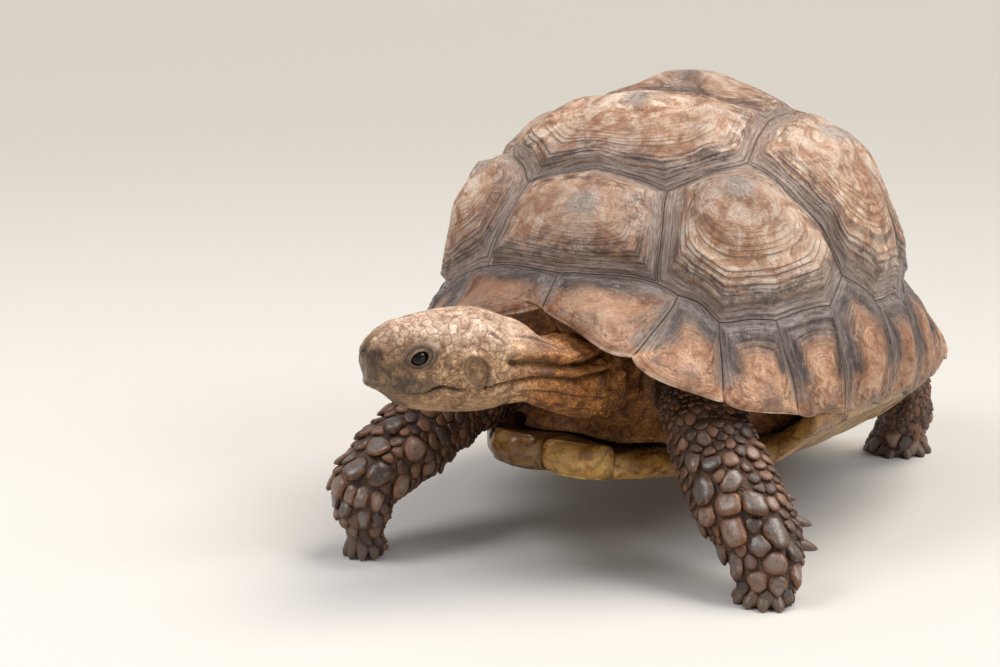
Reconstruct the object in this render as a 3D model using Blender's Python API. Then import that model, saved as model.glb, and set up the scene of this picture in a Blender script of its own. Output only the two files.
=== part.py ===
"""A large tortoise in mid-stride: shell plates, plastron, trunk, neck, head, eyes, legs, claws and tail.

Every length is a fraction of the shell's straight length until at_size() turns it to metres.
The animal faces -Y, its left side is +X and it stands on z = 0.
"""

import math

import bmesh
import bpy
import numpy as np
from mathutils import Matrix, Vector

# ---- driving sizes ----
SHELL = 0.460  # straight length of the carapace, metres
PLATE = 0.0060  # thickness of a carapace plate, metres
PLATE_GAP = 0.00036  # kept back from each side of a seam, metres
SKIN_GAP = 0.0062  # between a plate and the body inside it, metres
CUT_GAP = 0.0012  # how far the trunk is swollen when a limb is cut back to it, metres
CLEARANCE = 0.131  # plastron above the floor
PITCH = math.radians(1.7)  # the shell's front is carried a little high
CENTRE = (0.0, 0.03)  # plan centre of the carapace
APEX = 0.560  # height of the smooth dome over the plastron, without the plates' humps
BORDER = 0.80  # radial place of the seam between costals and marginals, 0 at the top and 1 at the rim
STEP = 0.12  # longest piece of a seam, the same on both of its sides
SEAMS = 11  # marginals on each side

# Half of the rim, at the marginals' seams from the nuchal notch to the rear midline: x, y, z.
RIM = (
    (0.000, -0.452, 0.254), (0.180, -0.496, 0.202), (0.286, -0.403, 0.132), (0.351, -0.285, 0.096),
    (0.368, -0.160, 0.085), (0.375, -0.030, 0.083), (0.378, 0.090, 0.080), (0.372, 0.205, 0.088),
    (0.352, 0.320, 0.105), (0.289, 0.430, 0.120), (0.197, 0.491, 0.115), (0.084, 0.510, 0.105),
    (0.000, 0.512, 0.100),
)
# The same stations on the seam between costals and marginals.
TOP = (
    (0.000, -0.416, 0.294), (0.181, -0.369, 0.281), (0.255, -0.345, 0.251), (0.308, -0.270, 0.242),
    (0.342, -0.165, 0.246), (0.358, -0.035, 0.243), (0.352, 0.083, 0.240), (0.325, 0.180, 0.240),
    (0.282, 0.272, 0.240), (0.228, 0.356, 0.245), (0.163, 0.420, 0.254), (0.072, 0.450, 0.263),
    (0.000, 0.456, 0.266),
)
SQUARENESS = (2.10, 2.30, 2.55, 2.60, 2.50, 2.50, 2.30, 2.20, 2.20, 2.30, 2.40, 2.50, 2.50)
STEEPNESS = (66, 67, 71, 73, 75, 77, 75, 73, 69, 66, 65, 64, 64)  # degrees at the border
FLARE = (0.0, -0.012, -0.008, 0.004, 0.016, 0.020, 0.020, 0.014, 0.0, -0.010, -0.014, -0.012, -0.010)
SCALLOP = 0.006  # how far a marginal's free edge bows out between its seams

# Corners of the plates: degrees from the front and radial place, left side.
CORNERS = {
    "v12": (0, 0.50), "v12c": (15.5, 0.56), "v2c12": (42.4, 0.434), "v23": (0, 0.11),
    "v23c": (63, 0.270), "v3c23": (113, 0.254), "v34": (180, 0.270), "v34c": (148, 0.320),
    "v4c34": (150, 0.500), "v45": (180, 0.540), "v45c": (166, 0.560),
    "b0": (0, 0.80), "bv1": (15.4, 0.79), "b1": (19.5, 0.80), "b2": (31.5, 0.82),
    "b3": (46.5, 0.806), "b4": (61.7, 0.79), "bc12": (67.3, 0.735), "b5": (80.9, 0.80),
    "b6": (97.5, 0.80), "bc23": (101, 0.745), "b7": (115, 0.80), "b8": (130, 0.80),
    "bc34": (133, 0.75), "b9": (144, 0.80), "b10": (156.5, 0.80), "bv5": (161, 0.79),
    "b11": (169.5, 0.80),
}
# Each plate: its corners in order (r for the right side's), its growth centre and its hump.
VERTEBRALS = (
    ("v12 v12c bv1 b0 rbv1 rv12c", (0, 0.600), 0.030),
    ("v23 v23c v2c12 v12c v12 rv12c rv2c12 rv23c", (0, 0.245), 0.022),
    ("v34 v34c v3c23 v23c v23 rv23c rv3c23 rv34c", (180, 0.020), 0.027),
    ("v45 v45c v4c34 v34c v34 rv34c rv4c34 rv45c", (180, 0.390), 0.030),
    ("b11 bv5 v45c v45 rv45c rbv5 rb11", (180, 0.650), 0.030),
)
COSTALS = (
    ("v12c v2c12 bc12 b4 b3 b2 b1 bv1", (36, 0.530), 0.026),
    ("v2c12 v23c v3c23 bc23 b6 b5 bc12", (76, 0.400), 0.028),
    ("v3c23 v34c v4c34 bc34 b8 b7 bc23", (120, 0.410), 0.031),
    ("v4c34 v45c bv5 b10 b9 bc34", (151, 0.600), 0.024),
)
# Which extra corner a marginal's upper edge takes in.
PEAKS = {1: "bv1", 5: "bc12", 7: "bc23", 9: "bc34", 11: "bv5"}
MARGINAL_HUMP = 0.010

# Plastron: half outline at the seams, and where its plates part on the midline.
PLASTRON = (
    ("gular", (-0.445, -0.360), ((0.045, -0.462), (0.092, -0.445), (0.112, -0.415))),
    ("humeral", (-0.360, -0.215), ((0.140, -0.388), (0.178, -0.335), (0.222, -0.245))),
    ("pectoral", (-0.215, -0.150), ((0.300, -0.215), (0.346, -0.200), (0.354, -0.150))),
    ("abdominal", (-0.150, 0.170), ((0.358, -0.080), (0.360, 0.080), (0.348, 0.190))),
    ("femoral", (0.170, 0.320), ((0.255, 0.235), (0.222, 0.290), (0.190, 0.360))),
    ("anal", (0.320, 0.400), ((0.160, 0.405), (0.115, 0.440), (0.060, 0.437))),
)
PLASTRON_THICK = 0.038
PLASTRON_DROP = 0.013  # the underside below the level that the carapace is measured from
LIP_THICK = 0.052  # the gulars' front lip
BRIDGE_FROM, BRIDGE_TO, BRIDGE_RISE = 0.235, 0.385, 0.072

# The body's bed on the plastron at the same stations as the rim: x, y. POCKET hollows the limb openings.
BED = (
    (0.000, -0.360), (0.100, -0.355), (0.165, -0.310), (0.215, -0.240), (0.275, -0.170), (0.303, -0.040),
    (0.303, 0.085), (0.275, 0.175), (0.205, 0.245), (0.150, 0.310), (0.105, 0.345), (0.045, 0.350),
    (0.000, 0.350),
)
POCKET = 0.10
BED_CLEAR = 0.014

# Head: turned to the animal's right. Rows run from the snout: distance back, half width, top, bottom.
HEAD_TURN, HEAD_NOD = 45, 0  # degrees
HEAD_BACK = (0.004, -0.552, 0.3440)  # back of the skull on the head's axis, above the floor
HEAD_LONG = 0.208
HEAD_ROWS = (
    (0.000, 0.014, 0.027, -0.014), (0.006, 0.029, 0.039, -0.034), (0.020, 0.041, 0.051, -0.050),
    (0.045, 0.050, 0.061, -0.063), (0.080, 0.059, 0.068, -0.070), (0.115, 0.067, 0.075, -0.073),
    (0.160, 0.073, 0.076, -0.075), (0.190, 0.070, 0.070, -0.070), (0.208, 0.064, 0.062, -0.064),
)
EYE = (0.0475, 0.077, 0.008)  # left of the middle, back from the snout, above the axis
EYE_RADIUS = 0.0066  # metres
NECK = (  # x, y, z above the floor, half width, half height
    (0.030, -0.270, 0.275, 0.070, 0.060), (0.040, -0.395, 0.285, 0.068, 0.060),
    (0.039, -0.462, 0.304, 0.064, 0.062),
)
TAIL = (
    (0.000, 0.300, 0.225, 0.050, 0.042), (0.000, 0.390, 0.200, 0.036, 0.030),
    (0.006, 0.440, 0.165, 0.020, 0.018), (0.012, 0.462, 0.125, 0.007, 0.007),
)

# Legs: x, y, z above the floor, half width, half depth. The last row is the sole, flat on the floor.
LEGS = {
    "foreleg_left": {
        "across": (0.83, 0.56, 0.0),
        "path": (
            (0.155, -0.260, 0.270, 0.060, 0.055), (0.222, -0.340, 0.238, 0.062, 0.054),
            (0.270, -0.372, 0.170, 0.070, 0.056), (0.328, -0.396, 0.105, 0.070, 0.052),
            (0.364, -0.413, 0.052, 0.053, 0.046), (0.371, -0.420, 0.018, 0.042, 0.042),
            (0.372, -0.420, 0.000, 0.038, 0.038),
        ),
        "spurs": (
            ((0.362, -0.372, 0.112), (0.414, -0.342, 0.100), 0.012),
            ((0.388, -0.382, 0.082), (0.428, -0.356, 0.070), 0.011),
            ((0.345, -0.365, 0.142), (0.386, -0.340, 0.134), 0.010),
        ),
        "foot": {"centre": (0.371, -0.420, 0), "facing": -12, "spread": 30, "count": 5, "reach": 0.034,
                 "height": 0.022, "length": 0.018, "drop": 0.0045, "thick": 0.0115},
    },
    "foreleg_right": {
        "across": (0.95, -0.30, 0.0),
        "path": (
            (-0.125, -0.260, 0.260, 0.060, 0.055), (-0.190, -0.395, 0.208, 0.062, 0.060),
            (-0.218, -0.500, 0.158, 0.067, 0.062), (-0.238, -0.578, 0.105, 0.060, 0.050),
            (-0.240, -0.592, 0.062, 0.052, 0.038), (-0.230, -0.582, 0.025, 0.036, 0.025),
            (-0.225, -0.575, 0.000, 0.018, 0.014),
        ),
        "foot": {"centre": (-0.233, -0.582, 0), "facing": -8, "spread": 34, "count": 5, "reach": 0.022,
                 "height": 0.044, "length": 0.016, "drop": 0.004, "thick": 0.0115},
    },
    "hindleg_left": {
        "across": (0.95, -0.3, 0.0),
        "path": (
            (0.150, 0.290, 0.265, 0.066, 0.060), (0.228, 0.365, 0.205, 0.056, 0.052),
            (0.250, 0.412, 0.125, 0.056, 0.054), (0.224, 0.455, 0.050, 0.060, 0.056),
            (0.212, 0.466, 0.015, 0.056, 0.053), (0.211, 0.467, 0.000, 0.051, 0.048),
        ),
        "foot": {"centre": (0.211, 0.467, 0), "facing": 60, "spread": 30, "count": 4, "reach": 0.050,
                 "height": 0.024, "length": 0.020, "drop": 0.005, "thick": 0.0125},
    },
    "hindleg_right": {
        "across": (0.95, 0.3, 0.0),
        "path": (
            (-0.160, 0.290, 0.270, 0.066, 0.060), (-0.255, 0.325, 0.205, 0.058, 0.054),
            (-0.292, 0.318, 0.130, 0.058, 0.056), (-0.293, 0.295, 0.050, 0.060, 0.058),
            (-0.290, 0.288, 0.015, 0.056, 0.055), (-0.290, 0.287, 0.000, 0.051, 0.050),
        ),
        "foot": {"centre": (-0.290, 0.287, 0), "facing": -25, "spread": 30, "count": 4, "reach": 0.050,
                 "height": 0.024, "length": 0.020, "drop": 0.005, "thick": 0.0125},
    },
}

COLOURS = {  # linear base colour, roughness
    "shell": ((0.235, 0.130, 0.066), 0.50),
    "rim": ((0.290, 0.165, 0.085), 0.50),
    "plastron": ((0.420, 0.250, 0.095), 0.45),
    "hide": ((0.120, 0.078, 0.050), 0.70),
    "head": ((0.270, 0.175, 0.105), 0.60),
    "eye": ((0.010, 0.008, 0.007), 0.08),
}


# ---- the carapace as a surface ----


def ring_of(half, mirror):
    """All 24 stations of a half table, the mirrored side in reverse."""
    table = np.array(half, float)
    other = table[1:12][::-1].copy()
    if mirror:
        other[:, 0] *= -1
    return np.concatenate([table, other])


def bearings():
    rim = np.array(RIM)
    half = np.arctan2(rim[:, 0] - CENTRE[0], CENTRE[1] - rim[:, 1])
    return np.concatenate([half, 2 * math.pi - half[1:12][::-1]])


BEARINGS = bearings()


def smooth(angle, values):
    """A closed smooth curve through the stations' values, read at the given bearings."""
    knots = np.concatenate([BEARINGS[-2:] - 2 * math.pi, BEARINGS, BEARINGS[:3] + 2 * math.pi])
    held = np.concatenate([values[-2:], values, values[:3]])
    angle = np.mod(angle, 2 * math.pi)
    at = np.clip(np.searchsorted(knots, angle, side="right") - 1, 1, len(knots) - 3)

    def slope(k):
        before, after = knots[k] - knots[k - 1], knots[k + 1] - knots[k]
        rise = ((held[k + 1] - held[k]).T / after * before + (held[k] - held[k - 1]).T / before * after)
        return (rise / (before + after)).T

    span = knots[at + 1] - knots[at]
    u = (angle - knots[at]) / span
    if held.ndim == 2:
        span, u = span[:, None], u[:, None]
    return (
        (2 * u**3 - 3 * u**2 + 1) * held[at] + (u**3 - 2 * u**2 + u) * span * slope(at)
        + (3 * u**2 - 2 * u**3) * held[at + 1] + (u**3 - u**2) * span * slope(at + 1)
    )


def carapace(angle, radial):
    """Points of the smooth shell at bearings and radial places."""
    angle, radial = np.ravel(angle).astype(float), np.ravel(radial).astype(float)
    rim, top = smooth(angle, ring_of(RIM, True)), smooth(angle, ring_of(TOP, True))
    power = 2 / smooth(angle, ring_of(SQUARENESS, False))
    steep = np.radians(smooth(angle, ring_of(STEEPNESS, False)))
    flare = smooth(angle, ring_of(FLARE, False))
    turn = np.clip(radial / BORDER, 0, 1) * steep
    reach = np.sin(turn) ** power / np.sin(steep) ** power
    foot = np.cos(steep) ** power
    height = (np.cos(turn) ** power - foot) / (1 - foot)
    points = np.empty((len(angle), 3))
    points[:, :2] = CENTRE + (top[:, :2] - CENTRE) * reach[:, None]
    points[:, 2] = top[:, 2] + (APEX - top[:, 2]) * height
    # Below the border a marginal runs straight to the rim, bowed in or out by its flare.
    low = radial > BORDER
    along = np.clip((radial - BORDER) / (1 - BORDER), 0, 1.2)
    way = (top[:, :2] - CENTRE) / np.linalg.norm(top[:, :2] - CENTRE, axis=1, keepdims=True)
    drop = rim - top
    run = (drop[:, :2] * way).sum(1)
    size = np.hypot(run, drop[:, 2])
    bow = flare * 4 * along * (1 - along)
    station = np.interp(np.mod(angle, 2 * math.pi), np.append(BEARINGS, 2 * math.pi), np.arange(25))
    part = station - np.floor(station)
    free = np.clip(1.6 * np.abs(np.cos(angle)) - 0.5, 0, 1)
    edge = SCALLOP * free * (4 * part * (1 - part)) * np.clip(along, 0, 1) ** 2
    sides = top + drop * along[:, None]
    sides[:, :2] += way * (-drop[:, 2] / size * bow + run / size * edge)[:, None]
    sides[:, 2] += run / size * bow + drop[:, 2] / size * edge
    points[low] = sides[low]
    return points


def disc(degrees, radial):
    turn = math.radians(degrees)
    return np.array([radial * math.sin(turn), -radial * math.cos(turn)])


def on_carapace(flat):
    """Points and outward normals of the carapace at disc coordinates."""
    flat = np.atleast_2d(flat)

    def at(d):
        radial = np.maximum(np.hypot(d[:, 0], d[:, 1]), 1e-4)
        return carapace(np.arctan2(d[:, 0], -d[:, 1]), radial)

    step = 0.004
    du = at(flat + (step, 0)) - at(flat - (step, 0))
    dv = at(flat + (0, step)) - at(flat - (0, step))
    normal = np.cross(du, dv)
    return at(flat), normal / np.linalg.norm(normal, axis=1, keepdims=True)


def on_plastron(flat):
    """Points of the plastron's underside, and straight down as their outward direction."""
    flat = np.atleast_2d(flat)
    x, y = np.abs(flat[:, 0]), flat[:, 1]
    rise = np.clip((x - BRIDGE_FROM) / (BRIDGE_TO - BRIDGE_FROM), 0, 1)
    level = BRIDGE_RISE * rise**2 * (3 - 2 * rise) + 0.004 * np.clip(x / 0.2, 0, 1) ** 2
    level += 0.012 * np.clip((-0.36 - y) / 0.10, 0, 1) ** 2 - PLASTRON_DROP
    level += 0.020 * np.clip((y - 0.33) / 0.10, 0, 1) ** 2
    return np.column_stack([flat, level]), np.tile((0.0, 0.0, -1.0), (len(flat), 1))


# ---- from fractions to the standing animal ----


def at_size(points):
    """Body fractions to metres: the shell is pitched, then raised by its clearance."""
    p = np.atleast_2d(points)
    cos, sin = math.cos(PITCH), math.sin(PITCH)
    y, z = p[:, 1] * cos + p[:, 2] * sin, -p[:, 1] * sin + p[:, 2] * cos
    return np.column_stack([p[:, 0], y, z + CLEARANCE]) * SHELL


# ---- solids ----


def material(name):
    if name in bpy.data.materials:
        return bpy.data.materials[name]
    made = bpy.data.materials.new(name)
    made.use_nodes = True
    shader = made.node_tree.nodes["Principled BSDF"]
    colour, rough = COLOURS[name]
    shader.inputs["Base Color"].default_value = (*colour, 1)
    shader.inputs["Roughness"].default_value = rough
    return made


def solid(name, points, faces, finish):
    """A named object from metres and faces, its faces turned outwards."""
    mesh = bpy.data.meshes.new(name)
    mesh.from_pydata([tuple(p) for p in points], [], faces)
    form = bmesh.new()
    form.from_mesh(mesh)
    bmesh.ops.remove_doubles(form, verts=form.verts, dist=1e-6)
    bmesh.ops.recalc_face_normals(form, faces=form.faces)
    if form.calc_volume(signed=True) < 0:
        bmesh.ops.reverse_faces(form, faces=form.faces)
    form.to_mesh(mesh)
    form.free()
    mesh.materials.append(material(finish))
    made = bpy.data.objects.new(name, mesh)
    bpy.context.scene.collection.objects.link(made)
    return made


def edge_points(first, last, step):
    count = max(1, round(float(np.linalg.norm(np.subtract(last, first))) / step))
    return [first + (last - first) * k / count for k in range(count)]


def outline_of(corners, step):
    """A closed outline with its edges split the same way from either side."""
    points = []
    for first, last in zip(corners, corners[1:] + corners[:1]):
        first, last = np.array(first), np.array(last)
        points += edge_points(first, last, step)
    return np.array(points)


def set_back(points, normals, centre, gap):
    """A closed 3-D outline moved inwards in its own surface by the same gap everywhere."""
    ahead = np.roll(points, -1, axis=0) - points
    ahead /= np.linalg.norm(ahead, axis=1, keepdims=True)
    across = np.cross(normals, ahead)
    across /= np.linalg.norm(across, axis=1, keepdims=True)
    if ((centre - points) * across).sum() < 0:
        across = -across
    before = np.roll(across, 1, axis=0)
    share = 1 + (across * before).sum(1, keepdims=True)
    return points + (across + before) / np.maximum(share, 0.5) * gap


def swelling(ring, hump):
    return hump * math.sin(math.pi / 2 * min(1, ring / 0.85)) ** 1.1 if ring else 0.0


def wall(points, above, below, k, after):
    """Two triangles down the side of a plate, split the same way as the plate next to it."""
    keys = [abs(points[above + n][0]) * 3 + points[above + n][1] * 5 + points[above + n][2] for n in (k, after)]
    if keys[0] < keys[1]:
        return [(above + after, above + k, below + after), (above + k, below + k, below + after)]
    return [(above + after, above + k, below + k), (above + after, below + k, below + after)]


def plate(name, corners, heart, surface, hump, depth, rings, step, finish, gap=PLATE_GAP):
    """One shell plate: rings that close in on its growth centre, walls, and a smooth inside."""
    outline, heart = outline_of(corners, step), np.array(heart)
    centre, up = surface(heart)
    base, normal = surface(outline)
    edge = set_back(base, normal, centre, gap / SHELL)
    layers = [edge]
    for ring in rings[1:]:
        base, lift = surface(heart + (outline - heart) * (1 - ring))
        layers.append(base + lift * swelling(ring, hump))
    layers.append(edge - normal * (depth / SHELL))
    base, lift = surface(heart + (outline - heart) * 0.5)
    layers.append(base - lift * (depth / SHELL))
    points = np.concatenate(layers + [centre + up * hump, centre - up * depth / SHELL])
    count, faces = len(outline), []
    below, tip = len(rings) * count, (len(rings) + 2) * count
    for k in range(count):
        after = (k + 1) % count
        for level in range(0, below - count, count):
            faces.append((level + k, level + after, level + after + count, level + k + count))
        faces.append((below - count + k, below - count + after, tip))
        faces += wall(points, 0, below, k, after)
        faces.append((below + after, below + k, below + k + count, below + after + count))
        faces.append((below + count + after, below + count + k, tip + 1))
    return solid(name, at_size(points), faces, finish)


def corner(name):
    if name.startswith("r"):
        x, y = disc(*CORNERS[name[1:]])
        return np.array([-x, y])
    return disc(*CORNERS[name])


def mirrored(corners):
    return [np.array([-x, y]) for x, y in corners][::-1]


def make_carapace():
    rings = (0, 0.18, 0.45, 0.8)
    for number, (names, heart, hump) in enumerate(VERTEBRALS, 1):
        corners = [corner(n) for n in names.split()]
        plate(f"vertebral_{number}", corners, disc(*heart), on_carapace, hump, PLATE, rings, STEP, "shell")
    for number, (names, heart, hump) in enumerate(COSTALS, 1):
        corners = [corner(n) for n in names.split()]
        for side, points in (("left", corners), ("right", mirrored(corners))):
            middle = disc(heart[0] if side == "left" else -heart[0], heart[1])
            plate(f"costal_{side}_{number}", points, middle, on_carapace, hump, PLATE, rings, STEP, "shell")
    edge = [disc(math.degrees(BEARINGS[k]), 1.0) for k in range(13)]
    for number in range(1, SEAMS + 1):
        uppers = [f"b{number - 1}"] + ([PEAKS[number]] if number in PEAKS else []) + [f"b{number}"]
        corners = [corner(n) for n in uppers] + [edge[number], edge[number - 1]]
        heart = 0.42 * edge[number] + 0.28 * edge[number - 1] + 0.15 * (corners[0] + corners[-3])
        for side, points in (("left", corners), ("right", mirrored(corners))):
            middle = heart * ((1, 1) if side == "left" else (-1, 1))
            plate(f"marginal_{side}_{number}", points, middle, on_carapace, MARGINAL_HUMP, PLATE,
                  (0, 0.35), STEP, "rim")
    corners = [corner("b11"), corner("rb11"), disc(-math.degrees(BEARINGS[11]), 1.0), edge[12], edge[11]]
    plate("supracaudal", corners, disc(180, 0.92), on_carapace, MARGINAL_HUMP, PLATE, (0, 0.35), STEP, "rim")


def plastron_plates(side, named=(), gap=PLATE_GAP, swollen=0.0):
    """One side of the plastron: all of its plates, or the named ones a little swollen to cut a limb back."""
    made, previous = [], None
    for name, (front, back), edge in PLASTRON:
        outer = [np.array(p) for p in edge]
        if previous is not None:
            outer = [previous] + outer
        corners = [np.array([0.0, front])] + outer + [np.array([0.0, back])]
        previous = outer[-1]
        if named and name not in named:
            continue
        thick = (LIP_THICK if name == "gular" else PLASTRON_THICK) * SHELL + 2 * swollen
        middle = np.mean(corners, axis=0)
        if side == "right":
            corners, middle = mirrored(corners), middle * (-1, 1)
        made.append(plate(f"{name}_{side}", corners, middle, on_plastron, 0.004, thick, (0, 0.2), 0.11,
                          "plastron", gap))
    return made


# ---- trunk ----


def plastron_top(flat):
    base, _ = on_plastron(flat)
    return base[:, 2] + PLASTRON_THICK + BED_CLEAR


def trunk_solid(name, swollen):
    """The body inside the shell: the dome's inside, a pocket round the limbs, and the bed on the plastron."""
    sides, points, faces = 40, [], []
    angle = np.arange(sides) * 2 * math.pi / sides
    bridge = np.clip((0.78 - np.abs(np.abs(np.mod(angle, 2 * math.pi) - math.pi) - math.pi / 2)) / 0.30, 0, 1)
    for share in (0.16, 0.34, 0.52, 0.70, 0.86, 1.0):
        radial = share * (0.80 + 0.14 * bridge)
        flat = np.column_stack([np.sin(angle) * radial, -np.cos(angle) * radial])
        base, normal = on_carapace(flat)
        points.append(base - normal * ((PLATE + SKIN_GAP - swollen) / SHELL))
    bed = smooth(angle, ring_of([(x, y, 0) for x, y in BED], True))
    bed[:, 2] = plastron_top(bed[:, :2])
    pocket = points[-1] * 0.40 + bed * 0.60
    hollow = POCKET * (1 - bridge)[:, None]
    pocket[:, :2] = pocket[:, :2] * (1 - hollow) + np.array(CENTRE) * hollow
    out = np.column_stack([np.sin(angle), -np.cos(angle), np.zeros(sides)]) * (swollen / SHELL)
    points += [pocket + out, bed + out - (0, 0, swollen / SHELL)]
    top, up = on_carapace(np.array([[0.0, 0.001]]))
    low = (0.0, CENTRE[1], plastron_top(np.array([CENTRE]))[0] - swollen / SHELL)
    rows = len(points)
    points = np.concatenate(points + [top - up * ((PLATE + SKIN_GAP - swollen) / SHELL), [low]])
    for k in range(sides):
        after = (k + 1) % sides
        faces.append((k, after, rows * sides))
        faces.append(((rows - 1) * sides + after, (rows - 1) * sides + k, rows * sides + 1))
        for row in range(0, (rows - 1) * sides, sides):
            faces.append((row + after, row + k, row + k + sides, row + after + sides))
    return solid(name, at_size(points), faces, "hide")


# ---- limbs, neck, head and tail ----


def curve(values, count):
    """Even steps on a smooth curve through the rows of values."""
    rows = np.array(values, float)
    held = np.concatenate([[2 * rows[0] - rows[1]], rows, [2 * rows[-1] - rows[-2]]])
    at = np.linspace(0, len(rows) - 1, count)
    k = np.minimum(at.astype(int), len(rows) - 2)
    u = (at - k)[:, None]
    a, b, c, d = held[k], held[k + 1], held[k + 2], held[k + 3]
    return 0.5 * (2 * b + (c - a) * u + (2 * a - 5 * b + 4 * c - d) * u**2 + (3 * b - a - 3 * c + d) * u**3)


def tube(name, stations, across, steps, sides, finish, square=2.0, ends=None):
    """A closed loft along stations of x, y, z, half width, half depth; across points along the width.

    With ends, two directions, the sections turn evenly from the first to the last.
    """
    rows = curve(stations, steps)
    way = np.gradient(rows[:, :3], axis=0)
    if ends:
        share = np.linspace(0, 1, steps)[:, None] ** 1.2
        way = np.array(ends[0], float) * (1 - share) + np.array(ends[1], float) * share
    way /= np.linalg.norm(way, axis=1, keepdims=True)
    width = np.array(across, float) - way * (way @ np.array(across, float))[:, None]
    width /= np.linalg.norm(width, axis=1, keepdims=True)
    depth = np.cross(way, width)
    turn = np.arange(sides) * 2 * math.pi / sides
    cos, sin = np.cos(turn), np.sin(turn)
    cos, sin = (np.sign(v) * np.abs(v) ** (2 / square) for v in (cos, sin))
    ring = (
        rows[:, None, :3] + width[:, None] * (rows[:, 3:4] * cos)[..., None]
        + depth[:, None] * (rows[:, 4:5] * sin)[..., None]
    )
    points = np.concatenate([ring.reshape(-1, 3), rows[:1, :3], rows[-1:, :3]])
    faces = []
    for k in range(sides):
        after = (k + 1) % sides
        faces += [(k, after, steps * sides), ((steps - 1) * sides + after, (steps - 1) * sides + k, steps * sides + 1)]
        for row in range(0, (steps - 1) * sides, sides):
            faces.append((row + after, row + k, row + k + sides, row + after + sides))
    return solid(name, points * SHELL, faces, finish)


def spike(name, base, tip, radius, finish, sides=7):
    """A claw or a spur: a bent cone from base to tip."""
    base, tip = np.array(base, float), np.array(tip, float)
    middle = base * 0.45 + tip * 0.55 + np.array((0, 0, radius * 0.35))
    rows = [(*base, radius, radius), (*middle, radius * 0.72, radius * 0.72), (*tip, radius * 0.16, radius * 0.16)]
    return tube(name, rows, (0.31, -0.95, 0.05), 4, sides, finish)


def combine(target, others, operation):
    """Exact booleans of whole solids; the others are used up."""
    for other in others:
        cut = target.modifiers.new("cut", "BOOLEAN")
        cut.operation, cut.solver, cut.object = operation, "EXACT", other
        graph = bpy.context.evaluated_depsgraph_get()
        mesh = bpy.data.meshes.new_from_object(target.evaluated_get(graph))
        target.modifiers.clear()
        finish = target.data.materials[0]
        target.data = mesh
        mesh.name = target.name
        mesh.materials.clear()
        mesh.materials.append(finish)
        bpy.data.objects.remove(other, do_unlink=True)
    form = bmesh.new()
    form.from_mesh(target.data)
    bmesh.ops.dissolve_degenerate(form, edges=form.edges, dist=1e-5)
    bmesh.ops.triangulate(form, faces=form.faces)
    form.to_mesh(target.data)
    form.free()
    return target


def make_leg(name, plan):
    path = np.array(plan["path"])
    lean = path[1, :3] - path[0, :3]
    leg = tube(name, path, plan["across"], 11, 14, "hide", 2.2, (lean / np.linalg.norm(lean), (0, 0, -1)))
    extras = [spike(f"{name}_spur", *spur, "hide") for spur in plan.get("spurs", ())]
    extras += [spike(f"{name}_claw", *claw, "hide") for claw in toes(plan)]
    combine(leg, extras, "UNION")
    side = name.split("_")[1]
    near = ("humeral", "pectoral") if name.startswith("fore") else ("femoral", "abdominal")
    plates = plastron_plates(side, near, -CUT_GAP, CUT_GAP)
    return combine(leg, [trunk_solid("cutter", CUT_GAP), *plates], "DIFFERENCE")


def toes(plan):
    """Claws fanned round the foot's leading edge, their tips just clear of the floor."""
    foot, made = plan["foot"], []
    for k in range(foot["count"]):
        turn = math.radians(foot["facing"] + (k - (foot["count"] - 1) / 2) * foot["spread"])
        out = np.array((math.sin(turn), -math.cos(turn), 0))
        root = np.array(foot["centre"]) + out * foot["reach"]
        root[2] = foot["height"]
        tip = root + out * foot["length"]
        tip[2] = foot["drop"]
        made.append((root - out * 0.012, tip, foot["thick"]))
    return made


def head_frame():
    turn, nod = math.radians(HEAD_TURN), math.radians(HEAD_NOD)
    ahead = Vector((-math.sin(turn) * math.cos(nod), -math.cos(turn) * math.cos(nod), math.sin(nod)))
    left = Vector((math.cos(turn), -math.sin(turn), 0))
    up = left.cross(ahead) * -1
    place = Matrix((left, -ahead, up)).transposed().to_4x4()
    return Matrix.Translation(HEAD_BACK) @ place


def placed(points):
    """Head points (left, back, up; origin at the back of the skull) to fractions of the shell."""
    place = np.array(head_frame())
    return np.asarray(points) @ place[:3, :3].T + place[:3, 3]


def make_head():
    rows, points, faces, sides = curve(HEAD_ROWS, 13), [], [], 18
    turn = np.arange(sides) * 2 * math.pi / sides
    for back, half, top, low in rows:
        middle, rise = (top + low) / 2, (top - low) / 2
        power = 2 / 2.3
        x = half * np.sign(np.cos(turn)) * np.abs(np.cos(turn)) ** power
        z = middle + rise * np.sign(np.sin(turn)) * np.abs(np.sin(turn)) ** power
        points.append(np.column_stack([x, np.full(sides, back - HEAD_LONG), z]))
    ends = [(0, rows[0][0] - HEAD_LONG - 0.002, (rows[0][2] + rows[0][3]) / 2), (0, 0, (rows[-1][2] + rows[-1][3]) / 2)]
    points = np.concatenate(points + [ends])
    for k in range(sides):
        after, last = (k + 1) % sides, (len(rows) - 1) * sides
        faces += [(k, after, len(rows) * sides), (last + after, last + k, len(rows) * sides + 1)]
        for row in range(0, last, sides):
            faces.append((row + after, row + k, row + k + sides, row + after + sides))
    head = solid("head", placed(points) * SHELL, faces, "head")
    for side, sign in (("left", 1), ("right", -1)):
        centre = placed([(EYE[0] * sign, EYE[1] - HEAD_LONG, EYE[2])])[0] * SHELL
        ball("socket", centre, EYE_RADIUS + 0.0004)
        combine(head, [bpy.data.objects["socket"]], "DIFFERENCE")
        ball(f"eye_{side}", centre, EYE_RADIUS)


def ball(name, centre, radius):
    mesh, form = bpy.data.meshes.new(name), bmesh.new()
    bmesh.ops.create_uvsphere(form, u_segments=14, v_segments=9, radius=radius,
                              matrix=Matrix.Translation(tuple(centre)))
    form.to_mesh(mesh)
    form.free()
    mesh.materials.append(material("eye"))
    made = bpy.data.objects.new(name, mesh)
    bpy.context.scene.collection.objects.link(made)


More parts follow.
